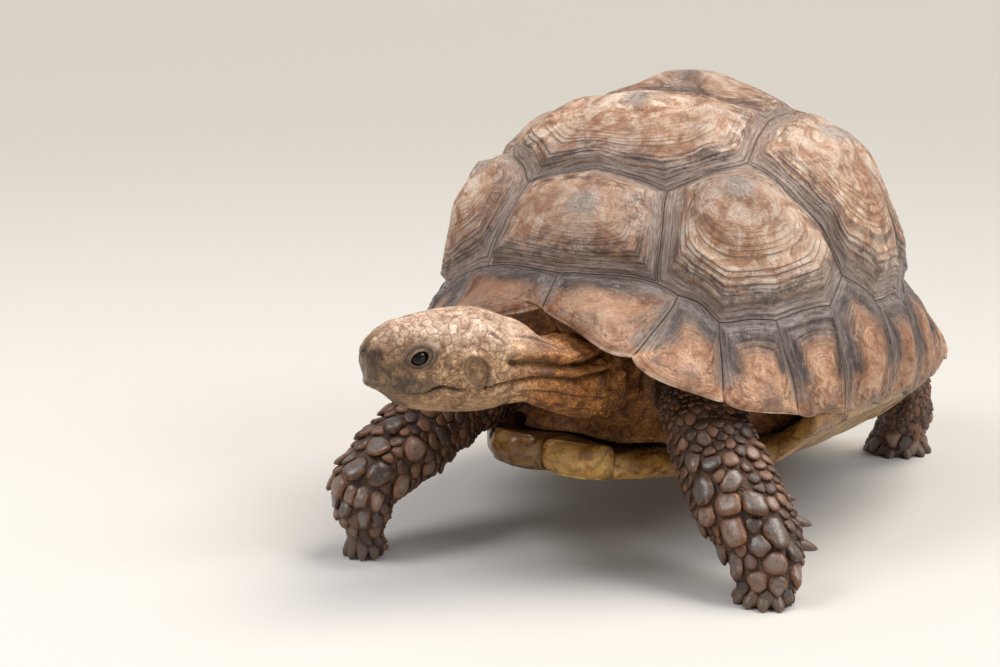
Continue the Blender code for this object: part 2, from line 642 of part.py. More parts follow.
def make_neck():
    """The neck runs from inside the shell to a flat just behind the head, and shares its outline there."""
    back, half, top, low = HEAD_ROWS[-1]
    end = placed([(0, 0.002, (top + low) / 2)])[0]
    before = placed([(0, 0.03, (top + low) / 2 - 0.002)])[0]
    rows = [*NECK, (*before, half * 0.97, (top - low) / 2 * 0.97), (*end, half, (top - low) / 2)]
    frame = head_frame()
    neck = tube("neck", rows, tuple(frame.col[0][:3]), 9, 18, "head", 2.3,
                ((0.06, -0.99, 0.12), tuple(-v for v in frame.col[1][:3])))
    combine(neck, [trunk_solid("cutter", CUT_GAP)], "DIFFERENCE")


def settle():
    """Moves everything so that the whole box stands on z = 0 with its middle on the origin."""
    forms = [item for item in bpy.context.scene.collection.objects if item.type == "MESH"]
    corners = np.array([v.co[:] for item in forms for v in item.data.vertices])
    low, high = corners.min(axis=0), corners.max(axis=0)
    shift = Matrix.Translation((-(low[0] + high[0]) / 2, -(low[1] + high[1]) / 2, -low[2]))
    for item in forms:
        item.data.transform(shift)


def main():
    for item in list(bpy.data.objects):
        bpy.data.objects.remove(item, do_unlink=True)
    make_carapace()
    for side in ("left", "right"):
        plastron_plates(side)
    trunk_solid("trunk", 0.0)
    for name, plan in LEGS.items():
        make_leg(name, plan)
    make_neck()
    make_head()
    tail = tube("tail", TAIL, (1, 0, 0), 7, 10, "hide")
    combine(tail, [trunk_solid("cutter", CUT_GAP)], "DIFFERENCE")
    settle()


if __name__ == "__main__":
    main()
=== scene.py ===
"""A large tortoise in mid-stride, life size, as a still museum model.

Shell plates with their growth rings, one skin for trunk, neck, head, legs and tail, horny leg
scales, claws and eyes. The animal faces -Y, its left side is +X and it stands on z = 0.
Body tables are in fractions of the shell's straight length; everything else is in metres.
"""

import math
from functools import partial
from itertools import product
from types import SimpleNamespace

import bpy
import numpy as np
from mathutils import Matrix, Vector
from mathutils.bvhtree import BVHTree
from mathutils.kdtree import KDTree


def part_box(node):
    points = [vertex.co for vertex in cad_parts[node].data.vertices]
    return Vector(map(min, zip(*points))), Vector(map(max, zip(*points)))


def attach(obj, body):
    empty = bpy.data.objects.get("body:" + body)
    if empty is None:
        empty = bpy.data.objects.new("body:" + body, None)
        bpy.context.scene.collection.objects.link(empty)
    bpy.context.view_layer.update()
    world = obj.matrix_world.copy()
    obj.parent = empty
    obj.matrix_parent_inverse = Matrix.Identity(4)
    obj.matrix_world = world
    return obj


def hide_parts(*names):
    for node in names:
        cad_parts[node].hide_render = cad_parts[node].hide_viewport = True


bl_info = {
    "name": "Walking Tortoise",
    "version": (1, 0, 0),
    "blender": (4, 5, 0),
    "location": "3D View > Sidebar > Tortoise",
    "description": "Builds a life-size tortoise in mid-stride round its packed frame",
    "category": "Object",
}

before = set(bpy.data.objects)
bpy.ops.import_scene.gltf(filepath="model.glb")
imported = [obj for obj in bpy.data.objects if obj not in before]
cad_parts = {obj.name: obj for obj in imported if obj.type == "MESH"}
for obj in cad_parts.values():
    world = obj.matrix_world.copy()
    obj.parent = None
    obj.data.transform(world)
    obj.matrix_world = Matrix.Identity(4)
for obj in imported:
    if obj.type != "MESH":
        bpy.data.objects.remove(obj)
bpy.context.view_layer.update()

# ---- the body's own tables, close to the frame's ----
SHELL = 0.46  # straight length of the carapace
CLEARANCE = 0.131  # plastron above the floor
PITCH = math.radians(1.7)
CENTRE = (0.0, 0.03)
APEX = 0.56
BORDER = 0.8  # radial place of the seam between costals and marginals
SEAMS = 11
RIM = np.array((
    (0, -452, 254), (180, -496, 202), (286, -403, 132), (351, -285, 96),
    (368, -160, 85), (375, -30, 83), (378, 90, 80), (372, 205, 88),
    (352, 320, 105), (289, 430, 120), (197, 491, 115), (84, 510, 105),
    (0, 512, 100),
)) / 1000
TOP = np.array((
    (0, -416, 294), (181, -369, 281), (255, -345, 251), (308, -270, 242),
    (342, -165, 246), (358, -35, 243), (352, 83, 240), (325, 180, 240),
    (282, 272, 240), (228, 356, 245), (163, 420, 254), (72, 450, 263),
    (0, 456, 266),
)) / 1000
SQUARENESS = (2.1, 2.3, 2.55, 2.6, 2.5, 2.5, 2.3, 2.2, 2.2, 2.3, 2.4, 2.5, 2.5)
STEEPNESS = (66, 67, 71, 73, 75, 77, 75, 73, 69, 66, 65, 64, 64)
FLARE = (0.0, -0.012, -0.008, 0.004, 0.016, 0.02, 0.02, 0.014, 0.0, -0.01, -0.014, -0.012, -0.01)
CORNERS = {
    "v12": (0, 0.5), "v12c": (15.5, 0.56), "v2c12": (42.4, 0.434), "v23": (0, 0.11),
    "v23c": (63, 0.27), "v3c23": (113, 0.254), "v34": (180, 0.27), "v34c": (148, 0.32),
    "v4c34": (150, 0.5), "v45": (180, 0.54), "v45c": (166, 0.56),
    "b0": (0, 0.8), "bv1": (15.4, 0.79), "b1": (19.5, 0.8), "b2": (31.5, 0.82),
    "b3": (46.5, 0.806), "b4": (61.7, 0.79), "bc12": (67.3, 0.735), "b5": (80.9, 0.8),
    "b6": (97.5, 0.8), "bc23": (101, 0.745), "b7": (115, 0.8), "b8": (130, 0.8),
    "bc34": (133, 0.75), "b9": (144, 0.8), "b10": (156.5, 0.8), "bv5": (161, 0.79),
    "b11": (169.5, 0.8),
}
VERTEBRALS = (
    ("v12 v12c bv1 b0 rbv1 rv12c", (3.5, 0.64), 0.03),
    ("v23 v23c v2c12 v12c v12 rv12c rv2c12 rv23c", (0, 0.285), 0.022),
    ("v34 v34c v3c23 v23c v23 rv23c rv3c23 rv34c", (0, 0.045), 0.016),
    ("v45 v45c v4c34 v34c v34 rv34c rv4c34 rv45c", (180, 0.39), 0.03),
    ("b11 bv5 v45c v45 rv45c rbv5 rb11", (180, 0.65), 0.03),
)
COSTALS = (
    ("v12c v2c12 bc12 b4 b3 b2 b1 bv1", (36, 0.53), 0.02),
    ("v2c12 v23c v3c23 bc23 b6 b5 bc12", (76, 0.4), 0.028),
    ("v3c23 v34c v4c34 bc34 b8 b7 bc23", (120, 0.41), 0.02),
    ("v4c34 v45c bv5 b10 b9 bc34", (151, 0.6), 0.019),
)
PEAKS = {1: "bv1", 5: "bc12", 7: "bc23", 9: "bc34", 11: "bv5"}
# By number: how far a marginal's free edge is let out, how dull it is, how far a seam's end is let out.
LOBES = (0, 0.073, 0.036, 0.02, 0.01, 0.006, 0.005, 0.005, 0.008, 0.018, 0.022, 0.016)
DULLNESS = (0, 0.74, 0.15, 0.1, 0.4, 0.3, 0.1, 0.35, 0.5, 0.1, 0.4, 0.25)
NOTCHES = (0, -0.01, -0.016, -0.013, 0, 0, 0, 0, 0, 0, 0, 0, 0)
PLASTRON = (
    ("gular", (-0.445, -0.36), ((0.045, -0.462), (0.092, -0.445), (0.112, -0.415))),
    ("humeral", (-0.36, -0.215), ((0.14, -0.388), (0.178, -0.335), (0.222, -0.245))),
    ("pectoral", (-0.215, -0.15), ((0.3, -0.235), (0.356, -0.235), (0.368, -0.15))),
    ("abdominal", (-0.15, 0.17), ((0.37, -0.08), (0.37, 0.08), (0.356, 0.19))),
    ("femoral", (0.17, 0.32), ((0.255, 0.235), (0.222, 0.29), (0.19, 0.36))),
    ("anal", (0.32, 0.4), ((0.16, 0.405), (0.115, 0.44), (0.06, 0.437))),
)
PLASTRON_THICK = 0.038
LIP_THICK = 0.052
BRIDGE_FROM, BRIDGE_TO, BRIDGE_RISE = 0.235, 0.385, 0.084
HEAD_TURN = math.radians(45)
HEAD_BACK = (0.004, -0.552, 0.344)
HEAD_LONG = 0.208
EYE = (0.0475, 0.077, 0.008)


# ---- small tools ----


def colour(code):
    """A screen colour written as a hex code, as linear light."""
    parts = [int(code[k : k + 2], 16) / 255 for k in (1, 3, 5)]
    return (*[v / 12.92 if v <= 0.04045 else ((v + 0.055) / 1.055) ** 2.4 for v in parts], 1.0)


def ease(values, low, high):
    """0 below low, 1 above high and a smooth rise between them; low may be the greater."""
    share = np.clip((np.asarray(values, float) - low) / (high - low), 0, 1)
    return share * share * (3 - 2 * share)


def bump(values, middle, width):
    return np.exp(-(((np.asarray(values, float) - middle) / width) ** 2))


def ripple(points, size, seed, waves=8):
    """Smooth unevenness from about -1 to 1, its bumps about size across."""
    chance = np.random.default_rng(seed)
    way = chance.normal(size=(waves, points.shape[-1]))
    way /= np.linalg.norm(way, axis=1, keepdims=True)
    way *= (math.pi / size * chance.uniform(0.6, 1.7, waves))[:, None]
    phase = chance.uniform(0, 2 * math.pi, waves)
    swell = np.sin(points.reshape(-1, points.shape[-1]) @ way.T + phase).sum(1) * (1.3 / waves**0.5) / 1.6
    return swell.reshape(points.shape[:-1])


def unit(rows):
    return rows / np.maximum(np.linalg.norm(rows, axis=-1, keepdims=True), 1e-12)


def grid_faces(rows, around):
    """Faces of rows of points closed into rings, with a pole at each end, the first row's first."""
    k = np.arange(around)
    after = (k + 1) % around
    base = np.arange(rows - 1)[:, None] * around
    quads = np.stack([base + k, base + after, base + after + around, base + k + around], axis=-1)
    first, last = rows * around, (rows - 1) * around
    ends = np.concatenate([
        np.column_stack([after, k, np.full(around, first)]),
        np.column_stack([last + k, last + after, np.full(around, first + 1)]),
    ])
    return quads.reshape(-1, 4).tolist() + ends.tolist()


def placed_object(name, data):
    """A new object at the origin, in the scene."""
    made = bpy.data.objects.new(name, data)
    bpy.context.scene.collection.objects.link(made)
    return made


def baked(made):
    """Makes what an object's modifiers grow its own plain mesh."""
    plain = bpy.data.meshes.new_from_object(made.evaluated_get(bpy.context.evaluated_depsgraph_get()))
    made.modifiers.clear()
    old, made.data = made.data, plain
    bpy.data.meshes.remove(old)
    plain.name = made.name
    return plain


def piece(name, points, faces, finish, marks=None):
    """A smooth mesh object from points and faces, turned outwards, with its marks as attributes."""
    mesh = bpy.data.meshes.new(name)
    mesh.from_pydata(np.asarray(points).tolist(), [], faces)
    corners = [(f[0], f[j], f[j + 1]) for f in faces for j in range(1, len(f) - 1)]
    a, b, c = (np.asarray(points)[np.array(corners)[:, j]] for j in range(3))
    if np.einsum("ij,ij->i", a, np.cross(b, c)).sum() < 0:
        mesh.flip_normals()
    for mark, values in (marks or {}).items():
        values = np.asarray(values, np.float32)
        kind, key = ("FLOAT", "value") if values.ndim == 1 else ("FLOAT_VECTOR", "vector")
        mesh.attributes.new(mark, kind, "POINT").data.foreach_set(key, values.ravel())
    mesh.shade_smooth()
    mesh.materials.append(finish)
    return placed_object(name, mesh)


def settle(made, slot, *nodes):
    """A finished piece joins the frame: it rides on the one body and stands for the nodes named."""
    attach(made, "root")
    if nodes:
        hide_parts(*nodes)


def grain(mm):
    """The noise scale that gives grains this many millimetres across on a surface in metres."""
    return 600 / mm


KINDS = {  # what a maker calls a node: Blender's name, its settings, the inputs in order, the output
    "coordinates": ("ShaderNodeTexCoord", {}, (), "Object"),
    "mark": ("ShaderNodeAttribute", {}, (), 2),
    "mix": ("ShaderNodeMix", {"data_type": "RGBA"}, (0, 6, 7), 2),
    "ramp": ("ShaderNodeValToRGB", {}, (0,), 0),
    "range": ("ShaderNodeMapRange", {"interpolation_type": "SMOOTHSTEP"}, range(5), 0),
    "noise": ("ShaderNodeTexNoise", {}, ("Vector", "Scale", "Detail", "Roughness", "Distortion"), "Fac"),
    "cells": ("ShaderNodeTexVoronoi", {}, ("Vector", "Scale", "Randomness"), "Distance"),
    "stretched": ("ShaderNodeVectorMath", {"operation": "MULTIPLY"}, range(2), 0),
    "bump": ("ShaderNodeBump", {}, ("Height", "Distance", "Strength"), 0),
    "parts": ("ShaderNodeSeparateXYZ", {}, (0,), 0),
    "place": ("ShaderNodeCombineXYZ", {}, range(3), 0),
    "set_place": ("GeometryNodeSetPosition", {}, ("Geometry", "Position"), 0),
    "kept": ("GeometryNodeStoreNamedAttribute", {}, ("Geometry", "Name", "Value"), 0),
    "named": ("GeometryNodeInputNamedAttribute", {"data_type": "FLOAT_VECTOR"}, ("Name",), 0),
    "set_out": ("GeometryNodeInstanceOnPoints", {}, ("Points", "Instance", "Rotation", "Scale"), 0),
    "dressed": ("GeometryNodeSetMaterial", {}, ("Geometry", "Material"), 0),
    **{name: ("ShaderNodeMath", {"operation": operation}, range(3), 0) for name, operation in (
        ("plus", "ADD"), ("minus", "SUBTRACT"), ("times", "MULTIPLY"), ("times_plus", "MULTIPLY_ADD"),
        ("power", "POWER"), ("sine", "SINE"))},
}


def add(tree, kind, *values, stops=(), out=None, **settings):
    """Adds a node with its settings and links, gives its output; a value is a number, colour or output."""
    name, fixed, sockets, given = KINDS.get(kind, (kind, {}, range(9), 0))
    made = tree.nodes.new(name)
    for key, value in {**fixed, **settings}.items():
        setattr(made, key, value)
    for socket, value in zip(sockets, values):
        if isinstance(value, bpy.types.NodeSocket):
            tree.links.new(value, made.inputs[socket])
        else:
            hexed = isinstance(value, str) and value.startswith("#")
            made.inputs[socket].default_value = colour(value) if hexed else value
    for number, (place, tint) in enumerate(stops):
        element = made.color_ramp.elements[number] if number < 2 else made.color_ramp.elements.new(place)
        element.position, element.color = place, colour(tint)
    out = given if out is None else out
    return made.outputs[out] if len(made.outputs) else made


# ---- the shell as a surface ----


def ring_of(half, mirror):
    table = np.array(half, float)
    other = table[1:12][::-1].copy()
    if mirror:
        other[:, 0] *= -1
    return np.concatenate([table, other])


BEARINGS = np.arctan2(RIM[:, 0] - CENTRE[0], CENTRE[1] - RIM[:, 1])
BEARINGS = np.concatenate([BEARINGS, 2 * math.pi - BEARINGS[1:12][::-1]])


def smooth(angle, values):
    """A closed smooth curve through the stations' values, read at the given bearings."""
    knots = np.concatenate([BEARINGS[-2:] - 2 * math.pi, BEARINGS, BEARINGS[:3] + 2 * math.pi])
    held = np.concatenate([values[-2:], values, values[:3]])
    angle = np.mod(angle, 2 * math.pi)
    at = np.clip(np.searchsorted(knots, angle, side="right") - 1, 1, len(knots) - 3)

    def slope(k):
        before, after = knots[k] - knots[k - 1], knots[k + 1] - knots[k]
        rise = ((held[k + 1] - held[k]).T / after * before + (held[k] - held[k - 1]).T / before * after)
        return (rise / (before + after)).T

    span = knots[at + 1] - knots[at]
    u = (angle - knots[at]) / span
    if held.ndim == 2:
        span, u = span[:, None], u[:, None]
    return (
        (2 * u**3 - 3 * u**2 + 1) * held[at] + (u**3 - 2 * u**2 + u) * span * slope(at)
        + (3 * u**2 - 2 * u**3) * held[at + 1] + (u**3 - u**2) * span * slope(at + 1)
    )


def carapace(angle, radial):
    """Points of the smooth shell at bearings and radial places."""
    angle, radial = np.ravel(angle).astype(float), np.ravel(radial).astype(float)
    rim, top = smooth(angle, ring_of(RIM, True)), smooth(angle, ring_of(TOP, True))
    power = 2 / smooth(angle, ring_of(SQUARENESS, False))
    steep = np.radians(smooth(angle, ring_of(STEEPNESS, False)))
    flare = smooth(angle, ring_of(FLARE, False))
    turn = np.clip(radial / BORDER, 0, 1) * steep
    reach = np.sin(turn) ** power / np.sin(steep) ** power
    foot = np.cos(steep) ** power
    height = (np.cos(turn) ** power - foot) / (1 - foot)
    points = np.empty((len(angle), 3))
    points[:, :2] = CENTRE + (top[:, :2] - CENTRE) * reach[:, None]
    points[:, 2] = top[:, 2] + (APEX - top[:, 2]) * height
    low = radial > BORDER
    along = np.clip((radial - BORDER) / (1 - BORDER), 0, 1.5)
    way = unit(top[:, :2] - CENTRE)
    drop = rim - top
    run = (drop[:, :2] * way).sum(1)
    size = np.hypot(run, drop[:, 2])
    bow = flare * 4 * along * np.maximum(1 - along, 0)
    sides = top + drop * along[:, None]
    sides[:, :2] += way * (-drop[:, 2] / size * bow)[:, None]
    sides[:, 2] += run / size * bow
    points[low] = sides[low]
    return points


def out_from(flat):
    """How far disc coordinates are from the summit."""
    return np.hypot(flat[:, 0], flat[:, 1])


def disc(degrees, radial):
    turn = math.radians(degrees)
    return np.array([radial * math.sin(turn), -radial * math.cos(turn)])


def on_carapace(flat):
    """Points and outward normals of the carapace at disc coordinates."""
    def at(d):
        radial = np.maximum(out_from(d), 1e-4)
        return carapace(np.arctan2(d[:, 0], -d[:, 1]), radial)

    step = 0.004
    du = at(flat + (step, 0)) - at(flat - (step, 0))
    dv = at(flat + (0, step)) - at(flat - (0, step))
    return at(flat), unit(np.cross(du, dv))


def on_plastron(flat):
    """Points of the plastron's underside, and straight down as their outward direction."""
    x, y = np.abs(flat[:, 0]), flat[:, 1]
    rise = np.clip((x - BRIDGE_FROM) / (BRIDGE_TO - BRIDGE_FROM), 0, 1)
    level = BRIDGE_RISE * rise**2 * (3 - 2 * rise) + 0.004 * np.clip(x / 0.2, 0, 1) ** 2 - 0.013
    level += 0.012 * np.clip((-0.36 - y) / 0.1, 0, 1) ** 2 + 0.02 * np.clip((y - 0.33) / 0.1, 0, 1) ** 2
    return np.column_stack([flat, level]), np.tile((0.0, 0.0, -1.0), (len(flat), 1))


def placed(points):
    """Head points (left, back, up; origin at the back of the skull) to fractions of the shell."""
    sin, cos = math.sin(HEAD_TURN), math.cos(HEAD_TURN)
    axes = np.array(((cos, -sin, 0), (sin, cos, 0), (0, 0, 1)))
    return np.asarray(points) @ axes + HEAD_BACK


# Where the frame's origin lies from the tables' one, read from the left eye.
OFFSET = sum(np.array(corner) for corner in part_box("eye_left")) / 2
OFFSET = OFFSET - placed([(EYE[0], EYE[1] - HEAD_LONG, EYE[2])])[0] * SHELL


def at_size(points):
    """Shell fractions to metres: pitched, raised by the clearance, moved to the frame's origin."""
    cos, sin = math.cos(PITCH), math.sin(PITCH)
    y, z = points[:, 1] * cos + points[:, 2] * sin, -points[:, 1] * sin + points[:, 2] * cos
    return np.column_stack([points[:, 0], y, z + CLEARANCE]) * SHELL + OFFSET


# ---- shell plates ----

SIDES = ("left", "right")
# How humped a marginal and a plastron plate are, and where their random draws start.
RIM_HUMP, BELLY_HUMP = 0.01, 0.004
RIM_SEED, SUPRACAUDAL_SEED, BELLY_SEEDS = 40, 60, {"left": 70, "right": 80}


def wander(flat):
    """Seams are never quite straight: the same small drift for both plates of a seam."""
    return flat + 0.0045 * np.column_stack([ripple(flat, 0.13, 11), ripple(flat, 0.13, 12)])


def fine_outline(corners, step):
    """A closed outline in short steps, and which edge each point belongs to."""
    points, edges = [], []
    for number, (first, last) in enumerate(zip(corners, corners[1:] + corners[:1])):
        count = max(2, math.ceil(float(np.linalg.norm(last - first)) / step))
        points += [first + (last - first) * k / count for k in range(count)]
        edges += [number] * count
    return np.array(points), np.array(edges)


def rounded_loop(points, waves):
    """A closed loop with only its slow turns kept, about the given number of waves."""
    turning = np.fft.fft(points[:, 0] + 1j * points[:, 1])
    kept = np.fft.ifft(turning * np.exp(-((np.fft.fftfreq(len(points), 1 / len(points)) / waves) ** 2)))
    return np.column_stack([kept.real, kept.imag])


def shell_plate(name, outline, heart, surface, hump, thick, look, seed, free=None, lift=None, tone=None):
    """One plate: growth rings closing in on its heart, a rounded side all round and a plain inside.

    free says how round each outline point's side is, 1 on an open edge; lift adds to the height.
    """
    free = np.zeros(len(outline)) if free is None else free
    centre, up = surface(heart[None])
    base, _ = surface(outline)
    reach = np.maximum(np.linalg.norm(base - centre, axis=1) * SHELL, 0.006)
    ahead = unit(np.roll(base, -1, axis=0) - np.roll(base, 1, axis=0))
    slant = np.clip(np.linalg.norm(np.cross(ahead, unit(centre - base)), axis=1), 0.45, 1)
    side_thick = thick * (1 - look.thin_edge * free)
    round_off = (look.shoulder + (side_thick / 2 - look.shoulder) * free) / slant
    inset = (look.seam / slant) * (1 - free) + round_off

    # Rings from the seam to the heart, closer together near the seam as in an old animal.
    rows = look.rings * look.rows + 1
    share = np.linspace(0, 0.985, rows)[:, None]
    part = inset / reach + share**look.crowding * (1 - inset / reach)
    arms = outline - heart
    rounder = rounded_loop(arms, 3.0) - arms
    flat = heart + (arms + rounder * ease(part, 0.02, 0.55)[..., None]) * (1 - part)[..., None]
    side = np.arctan2(arms[:, 0], -arms[:, 1])
    smooth_base, smooth_normal = surface(flat.reshape(-1, 2))
    edge = part * reach
    count = share * look.rings + 0.35 * np.sin(share * 21 + seed) + 0.25 * np.sin(share * 47 + 2 * seed)
    patch = ripple(flat, 0.1, 100 + seed)
    strength = np.random.default_rng(900 + seed).uniform(0.25, 1.5, look.rings + 3)
    strength = np.interp(count, np.arange(-1, look.rings + 2), strength)
    # On the back the rings stay crisp below the heart, where less weather reaches; on the rim, above it.
    crisp = ease((centre[0, 2] - smooth_base[:, 2]).reshape(edge.shape), *look.crisp)
    fade = np.exp(-((part / look.ring_reach) ** 2)) * (0.8 + 0.4 * patch) * ease(edge, 0.0002, 0.002)
    fade *= 0.4 + 0.75 * crisp
    fade = (fade + 0.16 * look.inner_rings * (1 + patch) * ease(1 - part, 0.08, 0.3)) * strength
    ridge = (0.5 + 0.5 * np.cos(2 * math.pi * count)) ** 0.55
    height = hump * SHELL * np.sin(math.pi / 2 * np.minimum(1, part / 0.85)) ** look.dome
    height += look.ridge * (ridge - 0.5) * fade + look.knob * bump(part, 1.0, 0.3)
    band = look.band * (1 + 0.3 * ripple(outline, 0.12, 200 + seed)) * (0.4 + 0.6 * ease(reach, 0.01, 0.05))
    height += look.step * (ease(edge / band, 0.55, 1.15) - 0.4) * ease(edge, 0, 0.002)
    height += look.unevenness * ripple(flat, 0.075, 300 + seed) * ease(edge, 0, 0.01)
    height += look.heart_rise * (ease(part, 0.8, 0.87) - 0.6 * ease(part, 0.9, 0.99))
    if lift is not None:
        height += lift(flat.reshape(-1, 2)).reshape(edge.shape)
    height -= height[:1] * np.exp((edge[:1] - edge) / 0.002)
    outer = smooth_base * SHELL + smooth_normal * height.reshape(-1, 1)

    # The side swings round in half a circle, flattened where the next plate is close.
    walls = []
    for turn in np.radians((24, 50, 75, 100, 128, 156, 180)):
        back = (look.seam / slant * (1 - free) + round_off * (1 - math.sin(turn))) / reach
        at, out = surface(heart + arms * (1 - back)[:, None])
        walls.append(at * SHELL - out * (side_thick / 2 * (1 - math.cos(turn)))[:, None])
    at, out = surface(heart + arms * 0.5)
    inside = at * SHELL - out * thick
    heart_top = centre * SHELL + up * height[-1].mean()
    heart_low = centre * SHELL - up * thick
    layers = [outer.reshape(rows, -1, 3)[::-1].reshape(-1, 3), *walls, inside, heart_top, heart_low]
    points = at_size(np.concatenate(layers) / SHELL)
    around, depth = len(outline), rows + len(walls) + 1

    def spread(inner, wall, last):
        """A mark's value at every point, from its rows on the face, its side and its heart."""
        return np.concatenate([inner[::-1].ravel(), np.full((len(walls) + 1) * around, wall), (last, wall)])

    lie = (np.sin(side) + 0 * part, np.cos(side) + 0 * part, part * reach.mean() * 1000 + seed)
    lie = np.stack(lie, axis=-1)
    lie = np.concatenate([lie[::-1].reshape(-1, 3), np.zeros(((len(walls) + 1) * around + 2, 3))])
    marks = {
        "edge": spread(edge * 1000, 0.0, float(reach.mean()) * 1000),
        "growth": spread(count + 0 * part, 0.0, float(look.rings)),
        "ring": spread(part, 0.0, 1.0),
        "open_edge": spread(free * np.exp(-edge / 0.006), 0.0, 0.0)
        + np.concatenate([np.zeros(rows * around), np.tile(free, len(walls) + 1), (0, 0)]),
        "crisp": spread(crisp, 1.0, 0.5),
        "core": spread((1 - part) * reach * 1000, 90.0, 0.0),
        "lie": lie,
        "tone": np.full(len(points), (seed * 0.618) % 1.0 if tone is None else tone),
    }
    return piece(name, points, grid_faces(depth, around), look.finish, marks)


def look_of(settings, finish, **changes):
    """How one kind of plate is grown: sizes in metres unless they are shares or counts."""
    plain = {key: getattr(settings, key) for key in ShellSettings.__annotations__}
    return SimpleNamespace(**{**plain, "finish": finish, "thin_edge": 0.0, "crisp": (-0.03, 0.1), **changes})


def corner(name):
    if name.startswith("r"):
        return disc(*CORNERS[name[1:]]) * (-1, 1)
    return disc(*CORNERS[name])


def mirrored(corners):
    return [point * (-1, 1) for point in corners][::-1]


def lobe(flat, number):
    """How far across a marginal each point is, front to back, and how far its free edge is let out."""
    front = BEARINGS[number - 1]
    bearing = np.abs(np.arctan2(flat[:, 0], -flat[:, 1]))
    across = (bearing - front) / (BEARINGS[number] - front)
    front, rear = np.clip(across / 0.3, 0, 1), np.clip((1.0 - across) / 0.14, 0, 1)
    out = np.sqrt(1 - (1 - front) ** 2) * (0.45 + 0.55 * np.sqrt(1 - (1 - rear) ** 2))
    return across, out * (1 - 0.75 * np.clip(across, 0, 1) ** 2)


def let_out(flat, number):
    radial = out_from(flat)
    across, out = lobe(flat, number)
    notch = np.interp(across, (0, 1), NOTCHES[number - 1 : number + 1])
    longer = radial + (notch + LOBES[number] * out) * ease(radial, 0.84, 1.0)
    return flat * (longer / np.maximum(radial, 1e-6))[:, None]


def grow_marginal(name, number, corners, heart, settings, look):
    outline = wander(fine_outline(corners, settings.rim_detail)[0])
    radial = out_from(outline)
    outline = let_out(outline, number)
    overhang = (0, 1, 1, 1, 0.75, 0.3, 0.12, 0.12, 0.3, 0.8, 1, 1)[number]
    free = ease(radial, 0.975, 0.99) * overhang
    free = (np.roll(free, 1) + free * 2 + np.roll(free, -1)) / 4

    def lift(flat):
        across, _ = lobe(flat, number)
        proud = settings.overlap * np.exp(-np.clip(across, 0, 1) / 0.16) - 0.0012 * ease(across, 0.8, 1)
        return proud * ease(out_from(flat), 0.8, 0.98) * overhang

    thick = settings.plate * (1 - 0.22 * overhang)
    return shell_plate(name, outline, heart, on_carapace, RIM_HUMP, thick, look, number + RIM_SEED, free,
                       lift, DULLNESS[number])


def grow_carapace(settings, back, rim):
    """The top's plates, then the marginals: the slot, the piece and the node of each."""
    grown, look = [], look_of(settings, back)
    plans = [(f"vertebral_{number}", *row) for number, row in enumerate(VERTEBRALS, 1)]
    plans += [(f"costal_{side}_{number}", *row) for number, row in enumerate(COSTALS, 1) for side in SIDES]
    for seed, (node, names, heart, hump) in enumerate(plans, 1):
        corners, middle = [corner(n) for n in names.split()], disc(*heart)
        if "right" in node:
            corners, middle = mirrored(corners), middle * (-1, 1)
        look.knob = settings.knob * (2.4 if node == "vertebral_3" else 1)
        outline = wander(fine_outline(corners, settings.detail)[0])
        made = shell_plate(f"{node}_plate", outline, middle, on_carapace, hump, settings.plate, look, seed)
        grown.append(("shell_plate", made, node))
    look = look_of(settings, rim, rings=settings.rim_rings, step=0.0012, band=0.006, ring_reach=0.6,
                   crowding=1.1, heart_rise=0, inner_rings=0.35, knob=0, thin_edge=0.55, crisp=(0, -0.06))
    edge = [disc(math.degrees(BEARINGS[k]), 1.0) for k in range(13)]
    for number in range(1, SEAMS + 1):
        uppers = [f"b{number - 1}"] + ([PEAKS[number]] if number in PEAKS else []) + [f"b{number}"]
        corners = [corner(n) for n in uppers] + [edge[number], edge[number - 1]]
        heart = 0.5 * edge[number] + 0.36 * edge[number - 1] + 0.07 * (corners[0] + corners[-3])
        for side in SIDES:
            points, middle = (corners, heart) if side == "left" else (mirrored(corners), heart * (-1, 1))
            node = f"marginal_{side}_{number}"
            made = grow_marginal(f"{node}_plate", number, points, middle, settings, look)
            grown.append(("rim_plate", made, node))
    corners = [corner("b11"), corner("rb11"), edge[11] * (-1, 1), edge[12], edge[11]]
    outline, _ = fine_outline(corners, settings.rim_detail)
    free = ease(out_from(outline), 0.975, 0.99)
    made = shell_plate("supracaudal_plate", wander(outline), disc(180, 0.92), on_carapace, RIM_HUMP,
                       settings.plate * 1.3, look, SUPRACAUDAL_SEED, free)
    return [*grown, ("rim_plate", made, "supracaudal")]


# How dark the plates of the plastron's front are: the right ones are painted dark as shade, the left ones get
# painted light; the other plates lie between.
FRONT_SHADE_AND_LIGHT = {"gular_left": 0.0, "gular_right": 0.95, "humeral_left": 0.15, "humeral_right": 0.8}
OTHER_TONE = 0.45


